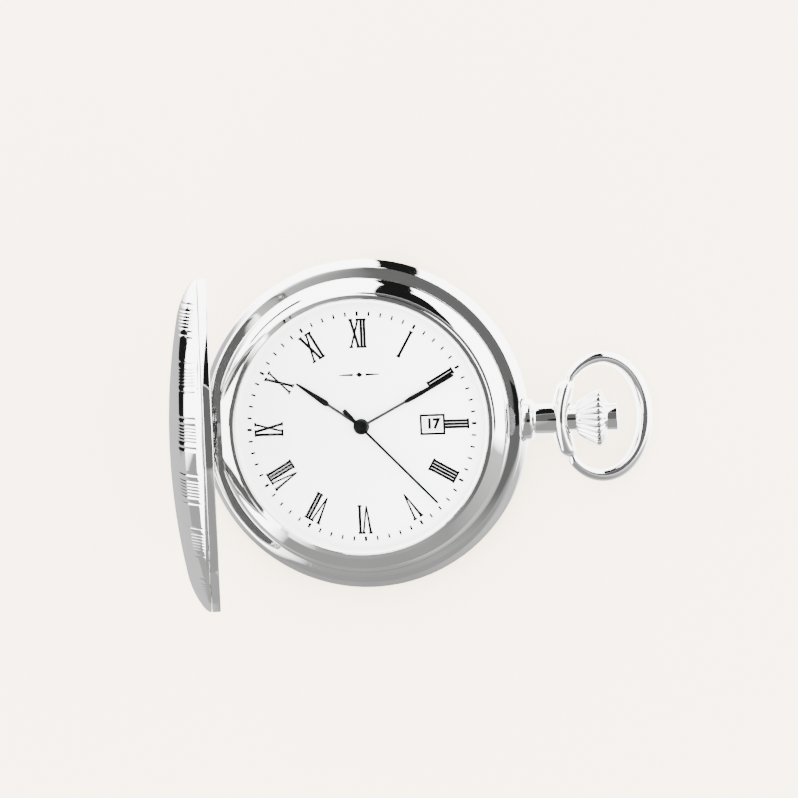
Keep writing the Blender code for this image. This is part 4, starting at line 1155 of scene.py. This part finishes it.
def dress_kept_nodes():
    for finish, names in KEPT.items():
        for name in names:
            for material_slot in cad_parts[name].material_slots:
                material_slot.material = finish


# ---------------------------------------------------------------- stage, light and camera


def make_floor():
    reach = 3.0
    floor = empty_piece("floor")
    corners = [(-reach, -reach, 0), (reach, -reach, 0), (reach, reach, 0), (-reach, reach, 0)]
    floor.data.from_pydata(corners, [], [(0, 1, 2, 3)])
    made, graph, shader = new_finish("pale_floor", Roughness=0.9, Specular_IOR_Level=0.1)
    tone = graph.noise(place(graph), 40.0, 2.0)
    graph.plug(shader.inputs["Base Color"], graph.mix(tone, (0.80, 0.65, 0.52), (0.79, 0.64, 0.51)))
    shader.inputs["Emission Color"].default_value = (1.0, 0.81, 0.65, 1.0)
    shader.inputs["Emission Strength"].default_value = 1.2
    floor.data.materials.append(made)


def tent_piece(name, mesh_maker, level_maker):
    """A sheet of the light tent that only reflections see; its brightness is an expression of place."""
    shape = bmesh.new()
    mesh_maker(shape)
    mesh = bpy.data.meshes.new(name)
    shape.to_mesh(mesh)
    shape.free()
    made = bpy.data.objects.new(name, mesh)
    bpy.context.scene.collection.objects.link(made)
    finish, graph, shader = new_finish(name, Roughness=1.0, Specular_IOR_Level=0.0)
    shader.inputs["Base Color"].default_value = (0.0, 0.0, 0.0, 1.0)
    shader.inputs["Emission Strength"].default_value = 1.0
    x, y, z = vector_parts(graph, place(graph))
    graph.plug(shader.inputs["Emission Color"], level_maker(x, y, z))
    mesh.materials.append(finish)
    made.visible_camera = made.visible_diffuse = made.visible_shadow = False
    made.visible_transmission = made.visible_volume_scatter = False


def blend(below, above, amount):
    return below * (1 - amount) + above * amount


def band(value, low, high, soft):
    return value.ramp(low - soft / 2, low + soft / 2) * (1 - value.ramp(high - soft / 2, high + soft / 2))


WHITE_LEVEL, BLACK_LEVEL = 9.0, 0.015


def tent_level(x, y, z):
    """White tent: a dark roof, a grey near side and a black gap behind the watch towards 1 o'clock."""
    around = (y.step("ARCTAN2", x) * math.degrees(1)) % 360.0
    flat = (x * x + y * y).step("SQRT")
    height = z.step("ARCTAN2", flat) * math.degrees(1)
    over_x, over_y = x / z.most(0.01), y / z.most(0.01)
    near_side = band(around, 228.0, 344.0, 8.0)
    level = blend(WHITE_LEVEL, around.ramp(298.0, 340.0) * 0.6 + 0.42, near_side)
    left_roof = height.ramp(58.0, 76.0) * over_y.ramp(-0.25, -0.15)
    level = blend(level, 0.7, left_roof)
    dark_roof = height.ramp(42.6, 44.2) * over_x.ramp(-0.18, -0.1) * over_y.ramp(-0.22, -0.16)
    level = blend(level, 0.17, dark_roof)
    gap_low = 71.0 - height.ramp(8.0, 43.0) * 26.0
    gap = (around - gap_low).ramp(-0.8, 0.8) * (1 - (around - height * 0.13).ramp(83.8, 85.2))
    gap = gap * (1 - height.ramp(43.0, 44.0))
    far_gap = band(around, 122.0, 150.0, 2.0) * band(height, 18.0, 26.0, 1.5)
    return blend(level, BLACK_LEVEL, gap.most(far_gap))


def ground_level(x, y, z):
    """The table in reflections: white, grey on the near side, with dark strips behind and beside."""
    x, y = x / MM, y / MM
    around = y.step("ARCTAN2", x) * math.degrees(1)
    near = 1 - y.ramp(-14.0, -2.0)
    level = blend(WHITE_LEVEL, x.ramp(8.0, 30.0) * 0.4 + 0.5, near)
    beside = band(x, -80.0, -24.0, 6.0) * band(y, -60.0, 24.0, 8.0)
    level = blend(level, 0.9, beside)
    strip = band(x, -76.0, -46.5, 2.0) * band(y, -4.0, 32.0, 3.0)
    slant = band(x + (y - 32.0) * 1.15, -72.0, -54.0, 2.5) * band(y, 31.0, 66.0, 3.0)
    gap = band(around, 69.5, 85.0, 1.5) * x.ramp(1.0, 2.0)
    return blend(level, BLACK_LEVEL, strip.most(slant).most(gap))


def hood_level(x, y, z):
    """A black strip over the crown and its neck."""
    return (x / MM).ramp(32.0, 34.0) * 0.06 + BLACK_LEVEL


def make_studio():
    """Even white light, with a printed tent and table sheet that only reflections see."""
    world = bpy.data.worlds.new("studio")
    bpy.context.scene.world = world
    world.use_nodes = True
    background = world.node_tree.nodes["Background"]
    background.inputs["Strength"].default_value = WHITE_LEVEL
    background.inputs["Color"].default_value = (1.0, 0.995, 0.985, 1.0)
    globe = {"u_segments": 64, "v_segments": 32, "radius": 4.0}
    tent_piece("tent", lambda shape: bmesh.ops.create_uvsphere(shape, **globe), tent_level)
    lift = Matrix.Translation((0, 0, 0.05 * MM))
    hood = Matrix.Translation((28.5 * MM, 0, 40 * MM)) @ Matrix.Diagonal((1, 0.7, 1, 1))
    tent_piece("crown_hood", lambda shape: bmesh.ops.create_grid(shape, size=6 * MM, matrix=hood), hood_level)
    tent_piece("table_sheet", lambda shape: bmesh.ops.create_grid(shape, size=3.5, matrix=lift), ground_level)


def make_camera():
    place_at = Vector((43.1 * MM, 34.9 * MM, DIAL_Z + 365.8 * MM))
    aim = Vector((5.61 * MM, 3.82 * MM, DIAL_Z))
    lean = math.radians(2.32)
    forward = (aim - place_at).normalized()
    right = forward.cross(Vector((math.sin(lean), math.cos(lean), 0))).normalized()
    up = right.cross(forward)
    camera = bpy.data.cameras.new("camera")
    camera.lens = 115.8
    camera.sensor_width = 36.0
    camera.clip_start = 0.01
    obj = bpy.data.objects.new("camera", camera)
    obj.matrix_world = Matrix.Translation(place_at) @ Matrix((right, up, -forward)).transposed().to_4x4()
    bpy.context.scene.collection.objects.link(obj)
    bpy.context.scene.camera = obj


make_case()
make_back()
make_bezel()
make_crystal()
make_pendant()
make_crown()
make_bow()
make_cover()
make_cover_rim()
make_dial()
make_date_ring()
make_numerals()
make_marks()
make_print()
make_hands()
dress_kept_nodes()
make_floor()
make_studio()
make_camera()
